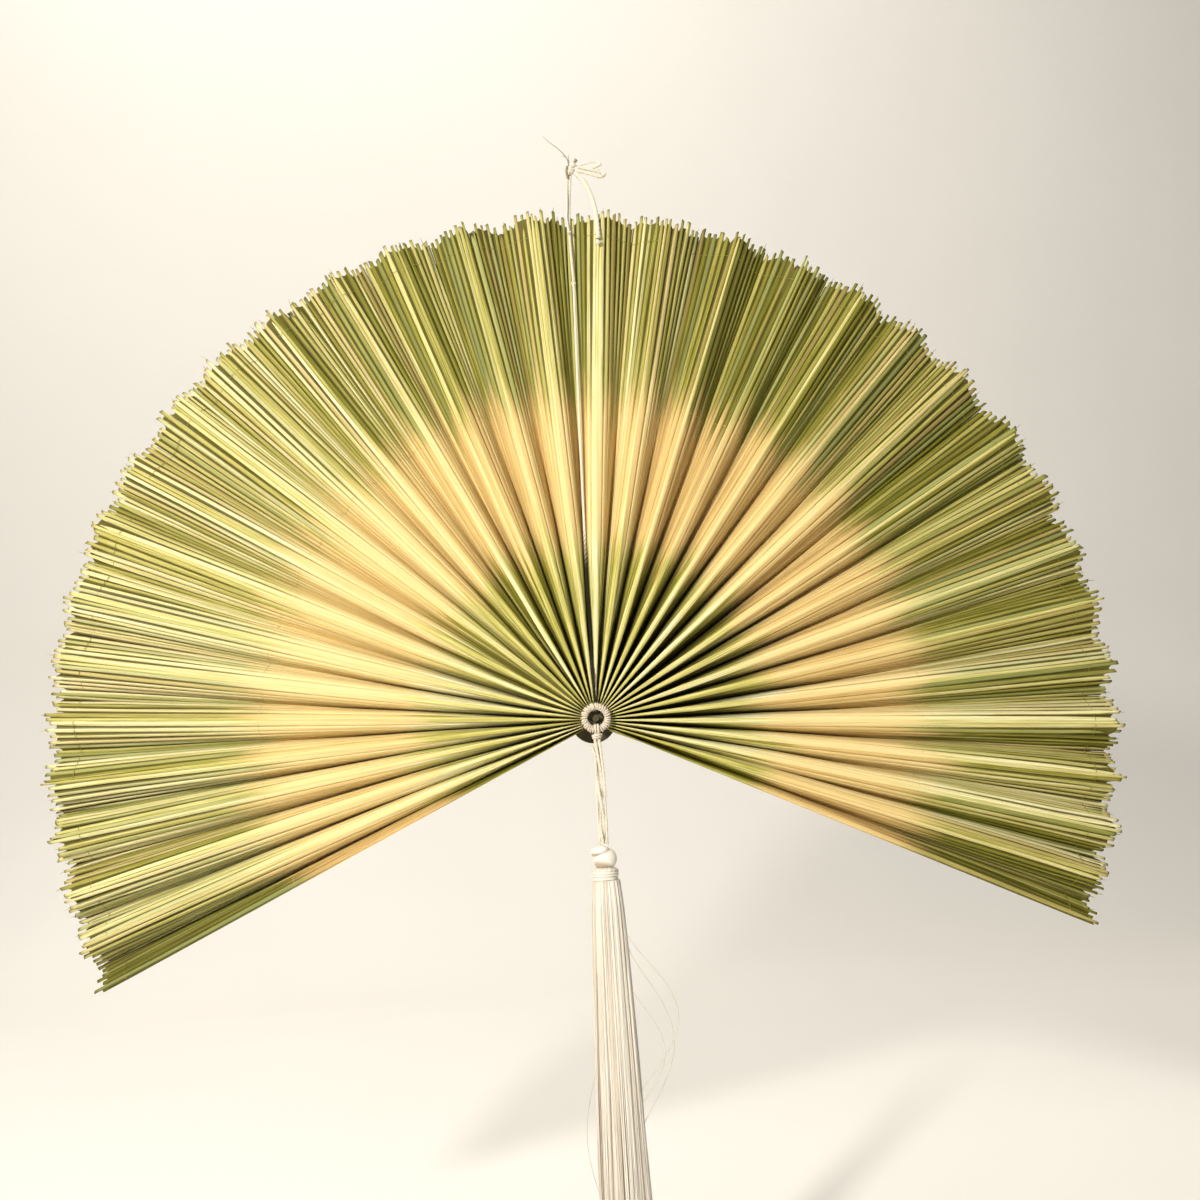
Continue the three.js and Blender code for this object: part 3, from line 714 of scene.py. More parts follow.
class Panel:
    """The surface that a panel's reeds lie on: ruled between two creases and rounded towards the ridge."""

    def __init__(self, valley, ridge, depth):
        self.valley = valley
        self.ridge = ridge
        # depth is how strong the painted shade in this panel's fold is
        self.depth = depth

    def lines(self, stations):
        self.low = self.valley.at(stations)
        self.high = self.ridge.at(stations)
        self.width = np.linalg.norm(self.high - self.low, axis=1, keepdims=True)
        self.across = unit(self.high - self.low)
        self.radius = np.linalg.norm((self.low - HUB)[:, [0, 2]], axis=1, keepdims=True)
        ahead = unit(self.valley.step + self.ridge.step)
        front = unit(np.cross(self.across, ahead))
        self.front = np.where(front[:, 1:2] > 0, -front, front)
        flattened = 1 - 0.3 * smooth(0.2, 0.32, self.radius)
        self.rounding = RIDGE_ROUNDING * smooth(0.03, 0.125, self.radius) * flattened

    def at(self, share, lift=0.0):
        bulge = self.rounding * BULGE_GAIN * share ** 2 * (1 - share)
        return mix(self.low, self.high, share) + self.front * (bulge + lift)

    def slope(self, share):
        return self.rounding * BULGE_GAIN * (2 * share - 3 * share ** 2) / self.width


def add_gap_shade_sheet(shape, panel, tips, dice):
    """The dark gaps between the reeds of a panel, where they touch, out to just short of the reeds' tips: a
    sheet of painted shade.
    """
    stations = np.append(STATIONS[:-2], 1.0)
    panel.lines(stations)
    count = 2 * REEDS_PER_PANEL + 1
    shares = np.linspace(0, 1, count)
    rows = np.stack([panel.at(share, -WEB_SINK) for share in shares], axis=1)
    ahead = unit(panel.valley.step + panel.ridge.step)
    for k in range(count):
        beside = tips[max(0, (k - 1) // 2)], tips[min(REEDS_PER_PANEL - 1, k // 2)]
        back = 4 if k % 2 else dice.uniform(1.5, 5)
        rows[-1, k] += ahead * (min(beside) - back * MM)
    faces = [(i * count + k, i * count + k + 1, (i + 1) * count + k + 1, (i + 1) * count + k)
             for i in range(len(stations) - 1) for k in range(count - 1)]
    radii = panel.radius[:, 0]
    reed = [(radius, 0.0, 0.0) for radius in radii for _ in shares]
    # Painted shade in the gaps, deeper in the fold near the pivot
    look = [(0.3, 0.0, max(mix(0.35, 0.85, gap_shade_share(radius)), painted_fold_shade(share, radius, panel.depth)))
            for radius in radii for share in shares]
    shape.add(list(rows.reshape(-1, 3)), faces, reed=reed, look=look)


def add_thread_rows(shape, panel):
    """The cross threads that tie the reeds, over each reed and down into the gaps."""
    shares = np.linspace(0.02, 0.98, 6 * REEDS_PER_PANEL + 1)
    over = np.abs(np.sin(shares * REEDS_PER_PANEL * math.pi))[:, None] ** 0.6
    for station in THREAD_ROWS:
        panel.lines(np.full(len(shares), station))
        tall = mix(REED_HEIGHT_MIDDLE, REED_HEIGHT_RIM, near_rim(panel.radius))
        line = panel.at(shares[:, None], over * (tall + THREAD_LIFT) - THREAD_SINK)
        points, faces, places = rope(line, THREAD_RADIUS, sides=5, dent=0.0)
        radius = panel.radius[0, 0]
        shape.add(points, faces, reed=[(radius, a * 900, b) for a, b, _ in places],
                  look=[(0.35, 0.0, 0.3)] * len(points))


def add_splinter(shape, tip, ahead, dice, radius, tone):
    """A fibre that sticks out past the cut end of a reed."""
    bend = jitter(dice, 0.25)
    size = dice.uniform(1.5, 4.5) * MM
    line = np.array([tip - SPLINTER_ROOT * ahead, tip + 0.4 * size * ahead, tip + size * unit(ahead + bend)])
    points, faces, _ = rope(line, SPLINTER_RADII, sides=4, dent=0.0)
    shape.add(points, faces, reed=[(radius, 50.0, 0.0)] * len(points), look=[(tone, 0.0, 0.55)] * len(points))


# The corners of a cap reed's section: place across, height, how far it falls with the ridge, darkness, which
# is painted shade at its edges and underside
CAP_SECTION = ((-1, 0, 1, 0.5), (-0.92, 0.6, 0.5, 0.1), (-0.6, 1, 0.08, 0), (0, 1, 0, 0),
               (0.6, 1, 0.08, 0), (0.92, 0.6, 0.5, 0.1), (1, 0, 1, 0.5), (0, -0.3, 0.4, 0.8))


def add_cap(shape, ridge, pitch, tone, dice):
    """The reed that lies flat over a ridge, from the stack out to the rim."""
    number = dice.uniform(0, 100)
    stations, tip_shading = stations_to(EVEN_EDGE + dice.uniform(-TIP_SPREAD, TIP_SPREAD))
    line = ridge.at(stations)
    radius = np.linalg.norm((line - HUB)[:, [0, 2]], axis=1, keepdims=True)
    rim = near_rim(radius)
    outward = np.cross(ridge.ahead, BACK)
    half = np.minimum(CAP_WIDTH / 2, CAP_SHARE * pitch * radius) * mix(1, dice.uniform(0.55, 0.75), rim)
    half = half * pointed(stations, dice)
    tall = mix(CAP_HEIGHT, REED_HEIGHT_RIM * dice.uniform(0.7, 1.1), rim)
    drop = mix(1.0 * MM, 0.4 * MM, rim)
    rows = [line + outward * (half * spot) - BACK * (tall * height - drop * fall)
            for spot, height, fall, _ in CAP_SECTION]
    shift = dice.gauss(0, DYE_SPREAD)
    reed = [(here, number, corner[0]) for here in radius[:, 0] for corner in CAP_SECTION]
    look = [(tone, shift, max(tip_shade, corner[3])) for tip_shade in tip_shading for corner in CAP_SECTION]
    shape.add_tube(np.stack(rows, axis=1), reed=reed, look=look)


def painted_fold_shade(share, radius, depth):
    """How much painted shade a panel gets in the depth of its fold, which opens out away from the pivot."""
    return 0.97 * depth * (1 - share ** (3.5 * depth)) * float(1 - smooth(0.055, 0.185, radius))


def tip_length(dice):
    """How far a reed reaches past the even edge; a few have broken short."""
    tip = EVEN_EDGE + dice.uniform(-TIP_SPREAD, TIP_SPREAD)
    if dice.random() < BROKEN_SHARE:
        tip -= dice.uniform(2, 6) * MM
    return tip


# The corners on the back of a reed's section: place across, depth, darkness, which is painted shade at the
# edges
BACK_SECTION = ((1, 0.7, 0.75), (0.5, 1, 0.0), (-0.5, 1, 0.0), (-1, 0.7, 0.75))


def add_reed(shape, panel, slot, tip, tone, inner, dice):
    """One reed of a panel, at its place from valley to ridge; inner shifts its tone near the pivot."""
    share = (slot + 0.5) / REEDS_PER_PANEL
    number = dice.uniform(0, 100)
    stations, tip_shading = stations_to(tip)
    panel.lines(stations)
    rim = near_rim(panel.radius)
    roll = panel.slope(share) + mix(dice.uniform(-0.06, 0.06), dice.uniform(-0.22, 0.22), rim)
    sway = dice.uniform(-0.4, 0.4) * MM * np.sin(stations[:, None] * math.pi * dice.uniform(0.7, 1.6))
    middle = panel.at(share, dice.uniform(-0.1, 0.1) * MM * rim) + panel.across * sway * rim
    middle += panel.front * (dice.uniform(-1.2, 1.2) * MM * smooth(0.28, 0.325, panel.radius))
    tilted = unit(panel.across + panel.front * roll)
    facing = unit(panel.front - panel.across * roll)

    half = panel.width / REEDS_PER_PANEL / 2
    face = mix(0.95, dice.uniform(0.45, 0.74), rim)
    tall = mix(REED_HEIGHT_HUB, REED_HEIGHT_MIDDLE, smooth(0.02, 0.08, panel.radius))
    tall = mix(tall, REED_HEIGHT_RIM * dice.uniform(0.75, 1.2), rim)
    free = smooth(1.002, 1.01, stations)[:, None]
    point = pointed(stations, dice)
    wing = mix(np.ones_like(face), (face + 0.03) * point, free)
    face = face * point
    edge = face + 0.03 * point
    # The corners of the reed's front: place across, reach, height, darkness; the darkness at the edges is
    # painted shade in the gaps
    section = [(-1, wing, 0.1, 1.0), (-1, edge, 0.15, 0.9), (-1, face, 0.7, 0.3), (-0.55, face, 0.94, 0),
               (0, face, 1, 0),
               (0.55, face, 0.94, 0), (1, face, 0.7, 0.3), (1, edge, 0.15, 0.9), (1, wing, 0.1, 1.0)]
    rows = [middle + tilted * (spot * reach * half) + facing * tall * height
            for spot, reach, height, _ in section]
    rows += [middle + tilted * (spot * wing * half) - facing * REED_BACK * depth
             for spot, depth, _ in BACK_SECTION]
    rows = np.stack(rows, axis=1)
    marks = [(corner[0], corner[-1]) for corner in (*section, *BACK_SECTION)]
    slant = dice.uniform(-0.9, 0.9) * MM
    ahead = unit(mix(panel.valley.step, panel.ridge.step, share))
    for k, (spot, _) in enumerate(marks):
        rows[-1, k] += ahead * slant * spot

    shift = dice.gauss(0, DYE_SPREAD)
    radii = panel.radius[:, 0]
    reed = [(radius, number, spot) for radius in radii for spot, _ in marks]
    look = []
    for radius, clear, tip_shade in zip(radii, free[:, 0], tip_shading):
        # Painted shade in the depth of the fold
        fold = painted_fold_shade(share, radius, panel.depth)
        # How much of the edges' painted shade shows here: most where the gaps open out, little on a free tip
        gap = mix(0.22, 1.0, gap_shade_share(radius)) * (1 - 0.7 * clear)
        here = tone + inner * (1 - smooth(0.09, 0.15, radius))
        look += [(here, shift, max(fold, tip_shade, painted_shade * gap)) for _, painted_shade in marks]
    shape.add_tube(rows, reed=reed, look=look)
    if dice.random() < SPLINTER_SHARE:
        root = rows[-1].mean(axis=0) + tilted[-1] * dice.uniform(-0.6, 0.6) * MM
        add_splinter(shape, root, ahead, dice, radii[-1], tone)


def blend_panel(panel, a, b, first, second, start_share, end_share):
    """Weights that are even along the reeds and run evenly across the panel, from one body to the other."""
    along = first.step
    inner = second.start - first.start
    outer = second.at(1.0) - first.at(1.0)
    gain = end_share - start_share
    slope = np.linalg.solve(np.array([along, inner, outer]), np.array([0, gain, gain]))
    scale = slope / np.dot(slope, slope)
    start = first.start - start_share * scale
    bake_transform(panel, a, b, start=tuple(start), end=tuple(start + scale))


def light_along_folds(side, number):
    """The few panels left of the middle where the light runs along the folds, so their painted fold shade is
    weak.
    """
    return side < 0 and 5 <= number <= 15


def fold_shade_strength(side, number):
    """How strong the painted shade in each fold is near the pivot: most on the right, away from the light,
    least where the light runs along the folds.
    """
    ending = float(smooth(21, 31, number))
    if side > 0:
        return mix(mix(0.55, 1.12, float(smooth(0, 9, number))), 0.55, ending)
    if light_along_folds(side, number):
        return 0.3
    return mix(0.62, 0.5, ending)


def panel_painted_light(side, number):
    """Painted light and shade on a panel's reeds as a whole: towards the ends the side of a fold turned up to
    the light is paler, the end panels darker, the left side paler and the upper and middle folds on the right
    darker.
    """
    turned_up = (number % 2 == 0) == (side > 0)
    if number == 2 * SIDE_PLEATS:
        return -0.4 if side > 0 else -0.65
    if number > 20:
        return (0.35 if turned_up else -0.03) + (0.15 if side < 0 else 0)
    if side < 0:
        return 0.27 if number > 8 else 0.0
    return mix(-0.32, -0.12, float(smooth(6, 18, number))) if number > 3 else 0.0


def add_mat(reeds):
    for side, letter in ((1, "R"), (-1, "L")):
        dice = random.Random(41 + side)
        creases = side_creases(side)
        bodies = ["hub"] + [f"fold_{letter}{step:02d}_reeds" for step in range(1, SIDE_PLEATS + 1)]
        for k, (first, second) in enumerate(zip(creases, creases[1:])):
            fold = k // 2
            rising = k % 2 == 0
            valley, ridge = (first, second) if rising else (second, first)
            # Each panel carries the strength of its painted fold shade
            surface = Panel(valley, ridge, fold_shade_strength(side, k))
            shape = Shape("reed", "look")
            tips = [tip_length(dice) for _ in range(REEDS_PER_PANEL)]
            add_gap_shade_sheet(shape, surface, tips, random.Random(300 + side * 100 + k))
            add_thread_rows(shape, surface)
            # Painted light and shade on the panel as a whole
            painted_light = panel_painted_light(side, k)
            # Near the pivot these panels' reeds are a darker olive: their dye, with painted shade
            inner = -0.25 if light_along_folds(side, k) else 0.0
            tone = dice.random()
            for slot, tip in enumerate(tips):
                tone = mix(tone, dice.random(), 0.75)
                add_reed(shape, surface, slot, tip, min(1, max(0, tone + painted_light)), inner, dice)
            if rising and fold < SIDE_PLEATS:
                add_cap(shape, ridge, pitch_of(fold + 1), mix(tone, 0.8, 0.6), dice)
            panel = shape.piece(f"panel_{letter}{k + 1:02d}", reeds)
            if fold == SIDE_PLEATS:
                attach(panel, bodies[-1])
            else:
                shares = (BLEND_OVERLAP, 0.5) if rising else (0.5, 1 - BLEND_OVERLAP)
                blend_panel(panel, bodies[fold], bodies[fold + 1], first, second, *shares)
        for leaf in range(4):
            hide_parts(f"leaf_{letter}{leaf + 1}")
        add_ribs(creases, bodies, side, letter, reeds, dice)


# The corners of a valley reed's section: place across its depth, width to one side in mm, darkness, which is
# painted shade at its edges and where the pair meets
RIB_SECTION = ((0, 0.05, 0.6), (0.12, 0.42, 0.1), (0.5, 0.6, 0), (0.88, 0.42, 0.1), (1, 0.05, 0.6),
               (0.5, 0.02, 0.9))


def add_ribs(creases, bodies, side, letter, reeds, dice):
    """Behind each valley, the two reeds that meet there, back to back."""
    for step in range(0 if side > 0 else 1, SIDE_PLEATS + 1):
        crease = creases[2 * step]
        outward = np.cross(crease.ahead, BACK)
        shape = Shape("reed", "look")
        for sign in (-1, 1):
            number, tone, shift = dice.uniform(0, 100), dice.random(), dice.gauss(0, 6 * MM)
            end = RIB_LENGTH + dice.uniform(-3, 3) * MM
            shares = np.linspace(0, end / crease.length, 13)
            gap = RIB_GAP + RIB_HUB_GAP * (1 - np.clip(shares * 6, 0, 1))[:, None]
            rows = [crease.at(shares) + BACK * (gap + RIB_DEPTH * over) + outward * (sign * out * MM)
                    for over, out, _ in RIB_SECTION]
            reed = [(share * crease.length + SPINE_RADIUS, number, corner[0] * 2 - 1)
                    for share in shares for corner in RIB_SECTION]
            look = [(tone, shift, corner[2]) for _ in shares for corner in RIB_SECTION]
            shape.add_tube(np.stack(rows, axis=1), reed=reed, look=look)
        rib = shape.piece(f"valley_pair_{letter}{step:02d}", reeds)
        dress(rib, bodies[step], "valley_reeds", f"rib_{letter}{step:02d}" if step else "rib_00")


# The plug, the ring and its winding


def add_ring(plug, cane, cotton):
    """The plug and the ring's core in their materials, and the cord wound closely round the ring."""
    for node, material in (("hub_plug", plug), ("ring_core", cane)):
        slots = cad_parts[node].data.materials
        slots.clear()
        slots.append(material)
    dice = random.Random(7)
    swells = [dice.uniform(-0.12, 0.12) * MM for _ in range(RING_LOOPS + 1)]
    leans = [dice.uniform(-0.05, 0.05) for _ in range(RING_LOOPS + 1)]
    centres = []
    for i in range(RING_LOOPS * RING_STEPS + 1):
        share = i / (RING_LOOPS * RING_STEPS)
        loop = int(RING_LOOPS * share)
        after = min(loop + 1, RING_LOOPS)
        part = (RING_LOOPS * share) % 1
        way = -math.pi / 2 + 2 * math.pi * mix(0.012, 0.988, share) + mix(leans[loop], leans[after], part)
        turn = 2 * math.pi * RING_LOOPS * share
        size = WRAP_RADIUS - 0.4 * MM + mix(swells[loop], swells[after], part)
        out = RING_RADIUS + size * math.cos(turn)
        centres.append((out * math.cos(way), RING_Y + size * math.sin(turn), out * math.sin(way)))
    shape = Shape("thread")
    points = shape.add_rope(np.array(centres) + HUB, RING_CORD / 2, lay=3.4 * MM, sides=8, dent=0.34)

    def ring_line(point):
        return HUB + np.array([0, RING_Y, 0]) + unit((point - HUB) * (1, 0, 1)) * RING_RADIUS

    add_fuzz(shape, points, ring_line, 420, 1.5 * MM, dice)
    dress(shape.piece("ring_winding_laid", cotton), "hub", "winding", "ring_winding")


# The tassel


def add_hitch(cotton):
    """The tassel's cord looped twice round the ring's lower edge and drawn through its own turns."""
    shape = Shape("thread")
    turns = np.linspace(0, 2 * math.pi, 49)
    edge = HUB + np.array([0, RING_Y, -RING_RADIUS])
    hug = WRAP_RADIUS + 0.8 * MM
    for sideways in (-0.8, 0.8):
        loop = np.stack([np.full(49, sideways * MM), hug * np.cos(turns), hug * np.sin(turns)], axis=1)
        shape.add_rope(edge + loop, 0.75 * MM, lay=3.4 * MM, dent=0.3)
    for wide, deep, drop in ((2.5, 2.3, 3.2), (2.1, 2.0, 4.5)):
        loop = np.stack([wide * np.cos(turns), deep * np.sin(turns), -drop + 0.3 * np.cos(turns)], axis=1)
        shape.add_rope(edge + loop * MM, 0.85 * MM, lay=5 * MM, dent=0.3)
    add_fuzz(shape, shape.points, lambda point: edge, 90, 1.3 * MM, random.Random(11))
    dress(shape.piece("hitch_turns", cotton), "hitch", "cord", "tassel_hitch")


# The loose ends at the hitch: points from its underside, how many along them, radius at both ends, then the
# number, reach and seed of the hairs at the end
LOOSE_ENDS = [
    ([(0.9, -1.5, -0.6), (1.8, -2.1, -10), (2.5, -2.2, -22), (2.7, -2.1, -34)], 70, 0.95, 0.7, 40, 2, 12),
    ([(-1.5, -1.1, -11), (-2.1, -1.4, -9), (-3.1, -1.4, -5.8), (-3.8, -1.2, -3.6)],
     26, 0.85, 0.85, 30, 1.2, 13),
]


def add_loose_ends(top, cotton):
    shape = Shape("thread")
    for points, count, start, end, hairs, reach, seed in LOOSE_ENDS:
        line = curve_through(np.array([HUB[0], RING_Y, top]) + np.array(points) * MM, count)
        skin = shape.add_rope(line, np.linspace(start, end, count) * MM, lay=5 * MM, dent=0.3)
        add_fuzz(shape, skin[-60:], lambda point: line[-4], hairs, reach * MM, random.Random(seed))
    return shape.piece("loose_strand", cotton)


def add_tassel(cotton, cream, silk):
    add_hitch(cream)
    ball = add_ball(np.array(middle_of("tassel_ball")), silk)
    collar = add_collar(silk)
    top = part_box("tassel_hitch")[0].z - STRAND_REACH
    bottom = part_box("tassel_ball")[1].z + STRAND_REACH
    share = np.linspace(0, 1, 150)
    turn = math.pi * 2.5 * share
    for index, sideways in enumerate((-1, 1)):
        line = np.stack([HUB[0] + STRAND_SPREAD * sideways * np.cos(turn),
                         RING_Y + STRAND_SPREAD * sideways * np.sin(turn), mix(top, bottom, share)], axis=1)
        strand = rope_piece(f"tassel_cord_laid_{index + 1}", line, TASSEL_CORD / 2 + 0.2 * MM, cotton,
                            lay=5 * MM, dent=0.3)
        dress(strand, "tassel", "cord", f"tassel_cord_{index + 1}")
    share = np.linspace(0, 1, 60)
    trim = []
    for name, sideways, spread in (("left", -1, 0.8), ("right", 1, 1.05)):
        out = sideways * (1.35 + spread * smooth(0, 0.6, share) + 0.12 * np.sin(share * 11)) * MM
        deep = (0.35 + 0.25 * np.sin(share * 8)) * MM
        line = np.stack([HUB[0] + out, RING_Y - deep, mix(top, bottom, share)], axis=1)
        trim.append(rope_piece(f"side_strand_{name}", line, 0.8 * MM, cotton, lay=11 * MM, dent=0.3))
    trim.insert(0, add_loose_ends(top, cotton))
    for piece in trim:
        dress(piece, "tassel", "cord")
    add_skirt(silk)


def add_wound(shape, middle, size, lean, pressed=None):
    """A rounded mass of wound silk, with painted shade underneath and in the crease where another one presses
    on it.
    """
    rows, sides = 56, 84
    tilt = np.array(Matrix.Rotation(lean, 3, "Y"))
    below = unit(np.array([-0.35, -0.45, -0.82]))
    points, thread = [], []
    for i in range(rows):
        height = math.pi * (i + 0.5) / rows - math.pi / 2
        level, rise = math.cos(height), math.sin(height)
        lines = math.sin(height * 44) * 0.05 * MM
        for k in range(sides):
            turn = 2 * math.pi * k / sides
            way = np.array([level * math.cos(turn), level * math.sin(turn), rise])
            point = middle + tilt @ (way * (size + lines))
            under = float(smooth(0.45, 1.0, np.dot(tilt @ way, below)))
            crease = 0.0
            if pressed:
                off = np.linalg.norm((point - pressed[0]) / pressed[1]) - 1
                crease = math.exp(-(off / 0.14) ** 2)
            points.append(point)
            # A lower lobe value is painted shade, underneath and in the crease
            thread.append((turn * 7 * MM, height * 1.5, 0.85 - 1.5 * under - 1.3 * crease))
    shape.add(points, tube_faces(rows, sides), thread=thread)


def add_ball(middle, silk):
    """The head of the tassel: silk wound into a ball, with a flatter turn drawn over its upper left."""
    shape = Shape("thread")
    lobe = middle + in_mm(-2.4, -0.7, 3.7), in_mm(5.7, 5.3, 3.1)
    add_wound(shape, middle + in_mm(0.4, 0, -0.9), in_mm(7.15, 7.1, 6.5), 0.0, lobe)
    add_wound(shape, *lobe, -0.2)
    seam = np.array([(-1, -2.5, 8.4), (1.6, -4.4, 7), (4.2, -4.4, 5.2), (6.2, -3, 3.2)]) * MM
    shape.add_thread(curve_through(middle + seam, 24), 0.3 * MM, sides=6, lobe=0.7)
    ball = shape.piece("tassel_ball_wound", silk)
    dress(ball, "tassel", "tassel_thread", "tassel_ball")
    return ball


def add_collar(silk):
    """The neck under the ball: two bound bands, then the hank spreading out, with painted shade in the bands
    and on the neck.
    """
    low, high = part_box("tassel_collar")
    middle = np.array((low + high) / 2)
    radius = (high.x - low.x) / 2
    tall = high.z - low.z
    rows, sides = 40, 72
    points, thread = [], []
    for i in range(rows):
        share = i / (rows - 1)
        bands = math.exp(-((share - 0.42) / 0.05) ** 2) + math.exp(-((share - 0.7) / 0.05) ** 2)
        spread = 0.86 + 0.12 * math.sin(math.pi * min(1, share * 1.2)) + 0.06 * share
        size = (radius * spread - bands * 0.8 * MM) * math.sqrt(min(1, 0.25 + 12 * share))
        for k in range(sides):
            turn = 2 * math.pi * k / sides
            wave = 0.05 * MM * math.sin(share * 75) if share < 0.7 else 0.12 * MM * math.sin(turn * 29)
            x, y = (size + wave) * math.cos(turn), (size + wave) * math.sin(turn)
            points.append(middle + np.array([x, y, (0.5 - share) * tall]))
            # The bands, drawn in, get painted shade
            thread.append((turn * radius, share * 2, 0.8 - 0.5 * bands))
    shape = Shape("thread")
    shape.add(points, tube_faces(rows, sides), thread=thread)
    neck = [middle + np.array([0, 0, tall / 2 + lift * MM]) for lift in (-0.8, 0.4, 1.5)]
    points, faces, places = rope(neck, in_mm(8.2, 7.7, 5.6), plies=16, lay=0.3, dent=0.1, sides=64)
    # The neck between ball and collar gets painted shade
    shape.add(points, faces, thread=[(a, b, 0.35) for a, b, _ in places])
    collar = shape.piece("tassel_collar_wound", silk)
    dress(collar, "tassel", "tassel_thread", "tassel_collar")
    return collar


def add_skirt_core(shape, top):
    """The inner threads of the hank, as one closed bundle under the outer ones, darkened with painted shade.
    """
    rows, sides = 22, 48
    points, thread = [], []
    for i in range(rows):
        share = i / (rows - 1)
        size = mix(7.6, 12.6, share ** 0.8) * MM
        flat = mix(1, SKIRT_FLATNESS, min(1, share * 3))
        for k in range(sides):
            turn = 2 * math.pi * k / sides
            ridge = 1 + 0.06 * math.sin(7 * turn + 3 * share) + 0.05 * math.sin(13 * turn - 2 * share)
            points.append(top + np.array([size * ridge * math.cos(turn), size * flat * ridge * math.sin(turn),
                                          -share * SKIRT_LENGTH * 0.93]))
            # A low lobe value: painted shade inside the hank
            thread.append((share * SKIRT_LENGTH, turn * 12, 0.3))
    shape.add(points, tube_faces(rows, sides), thread=thread)


# The skirt's strays: how far each stands out in mm, where along the skirt it starts and ends, and its side
STRAYS = ((27, 0.16, 0.62, -0.25), (23, 0.2, 0.72, -0.1), (20, 0.3, 0.66, -0.5), (9, 0.5, 0.95, 2.9))


def add_skirt(silk):
    """A dense hank of fine threads that fans out below the collar in locks, with a few strays."""
    low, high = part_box("tassel_skirt")
    top = np.array([(low.x + high.x) / 2, (low.y + high.y) / 2, high.z])
    dice = random.Random(23)
    shape = Shape("thread")
    add_skirt_core(shape, top)
    locks = [(dice.uniform(0.15, 1), dice.uniform(0.88, 1.05), dice.uniform(-0.05, 0.05))
             for _ in range(SKIRT_LOCKS)]
    share = np.linspace(0, 1, 14)
    flat = mix(1, SKIRT_FLATNESS, np.minimum(1, share * 3))
    for number in range(SKIRT_THREADS):
        turn = dice.uniform(0, 2 * math.pi)
        depth = math.sqrt(dice.uniform(0.62 if number % 4 else 0.01, 1))
        lock = int(turn / (2 * math.pi) * SKIRT_LOCKS) % SKIRT_LOCKS
        pale, wide, lean = locks[lock]
        gathered = (lock + 0.5) / SKIRT_LOCKS * 2 * math.pi + lean
        end_turn = mix(turn, gathered, 0.5) + dice.gauss(0, 0.03)
        length = SKIRT_LENGTH * dice.uniform(0.93, 1.0)
        wave = dice.uniform(0.1, 0.5) * MM
        phase = dice.uniform(0, 6.3)
        start, end = 9.3 * MM * depth, 15.4 * MM * depth * wide
        size = mix(start, end, share ** 0.9) * (1 - 0.14 * np.exp(-share * 14))
        angle = mix(turn, end_turn, share ** 2)
        line = np.stack([size * np.cos(angle) + wave * np.sin(share * 9 + phase) * share,
                         size * flat * np.sin(angle) + wave * np.cos(share * 7 + phase) * share,
                         -share * length], axis=1)
        radius = dice.uniform(0.22, 0.42) * MM * np.linspace(1, 0.7, len(share))
        tone = min(1, max(0, pale + dice.uniform(-0.25, 0.25)))
        shape.add_thread(line + top, radius, sides=4, lobe=tone, number=number)
    share = np.linspace(0, 1, 30)
    for number, (bulge, start, end, turn) in enumerate(STRAYS):
        size = (11 + bulge * np.sin(math.pi * share) ** 1.3) * MM
        line = np.stack([size * math.cos(turn), size * math.sin(turn) * SKIRT_FLATNESS,
                         -SKIRT_LENGTH * mix(start, end, share)], axis=1)
        shape.add_thread(line + top, 0.17 * MM, sides=4, lobe=0.2, number=number)
    dress(shape.piece("tassel_skirt_threads", silk), "tassel", "tassel_thread", "tassel_skirt")


# The stage and the light


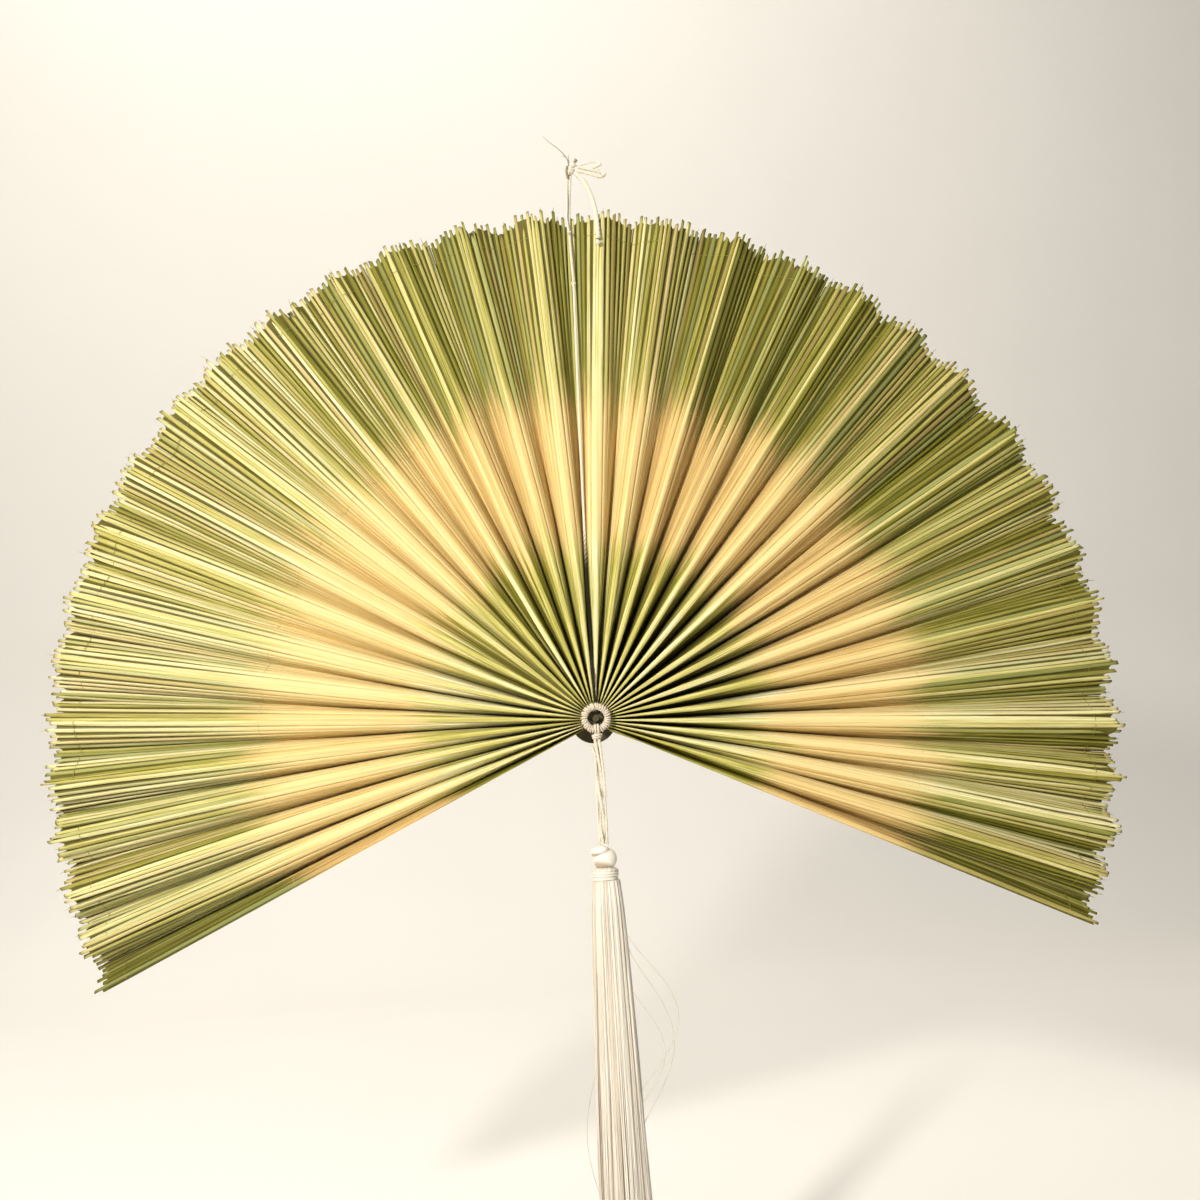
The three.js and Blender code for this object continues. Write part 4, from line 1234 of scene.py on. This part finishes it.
def add_stage():
    """A pale floor that sweeps up into a backdrop well behind the fan."""
    floor_z, back_y, bend, far = -0.74, 2.2, 0.7, 6.0
    outline = [(-4.0, 0.0), (back_y - bend, 0.0)]
    outline += [(back_y - bend + bend * math.sin(a), bend - bend * math.cos(a))
                for a in np.linspace(0, math.pi / 2, 24)[1:]]
    outline.append((back_y, far))
    points = [(x, y, floor_z + z) for y, z in outline for x in (-9.0, 9.0)]
    faces = [(2 * k, 2 * k + 1, 2 * k + 3, 2 * k + 2) for k in range(len(outline) - 1)]
    paper = stage_material("studio_paper", (0.80, 0.775, 0.735), (0.785, 0.76, 0.72))
    make_piece("studio_sweep", points, faces, paper, {})


def add_light(name, place, target, size, power, colour):
    light = bpy.data.lights.new(name, "AREA")
    light.shape = "DISK"
    light.size = size
    light.energy = power
    light.color = colour
    lamp = bpy.data.objects.new(name, light)
    lamp.location = place
    lamp.rotation_euler = (Vector(target) - Vector(place)).to_track_quat("-Z", "Y").to_euler()
    bpy.context.scene.collection.objects.link(lamp)


def add_lights():
    hub = Vector(HUB)
    key_way = Vector((-0.57, -1.0, 0.38)).normalized()
    add_light("key", hub + key_way * 1.5, hub, 0.14, 27.5, (1.0, 0.95, 0.87))
    add_light("fill", hub + Vector((1.5, -1.8, 0.1)), hub, 1.6, 5.5, (0.82, 0.90, 1.0))
    add_light("rear", hub + Vector((-0.8, 1.7, 1.0)), hub, 1.4, 5, (1.0, 0.97, 0.92))
    add_light("backdrop", Vector((-0.5, 0.2, 2.4)), Vector((-0.1, 2.0, -0.4)), 3.2, 92, (1.0, 0.95, 0.86))
    world = bpy.data.worlds.new("studio")
    world.use_nodes = True
    world.node_tree.nodes["Background"].inputs[0].default_value = (0.86, 0.92, 1.0, 1)
    world.node_tree.nodes["Background"].inputs[1].default_value = 0.13
    bpy.context.scene.world = world
    bpy.context.scene.view_settings.view_transform = "Standard"


set_camera()
cotton_white = cotton_material("cotton_cord", (0.62, 0.57, 0.46), (0.20, 0.155, 0.095))
cotton_cream = cotton_material("cotton_winding", (0.60, 0.53, 0.42), (0.22, 0.165, 0.11))
# A darker cotton for the knot's lower turns, thin ends and frayed tail
cotton_dark = cotton_material("cotton_dark", (0.26, 0.22, 0.14), (0.08, 0.06, 0.03))
silk_white = silk_material("silk_thread", (0.76, 0.71, 0.62), (0.40, 0.32, 0.23))
add_hanging_cord(cotton_white, cotton_dark)
add_tassel(cotton_white, cotton_cream, silk_white)
add_mat(reed_material())
add_ring(plug_material(), cane_material(), cotton_cream)
add_stage()
add_lights()
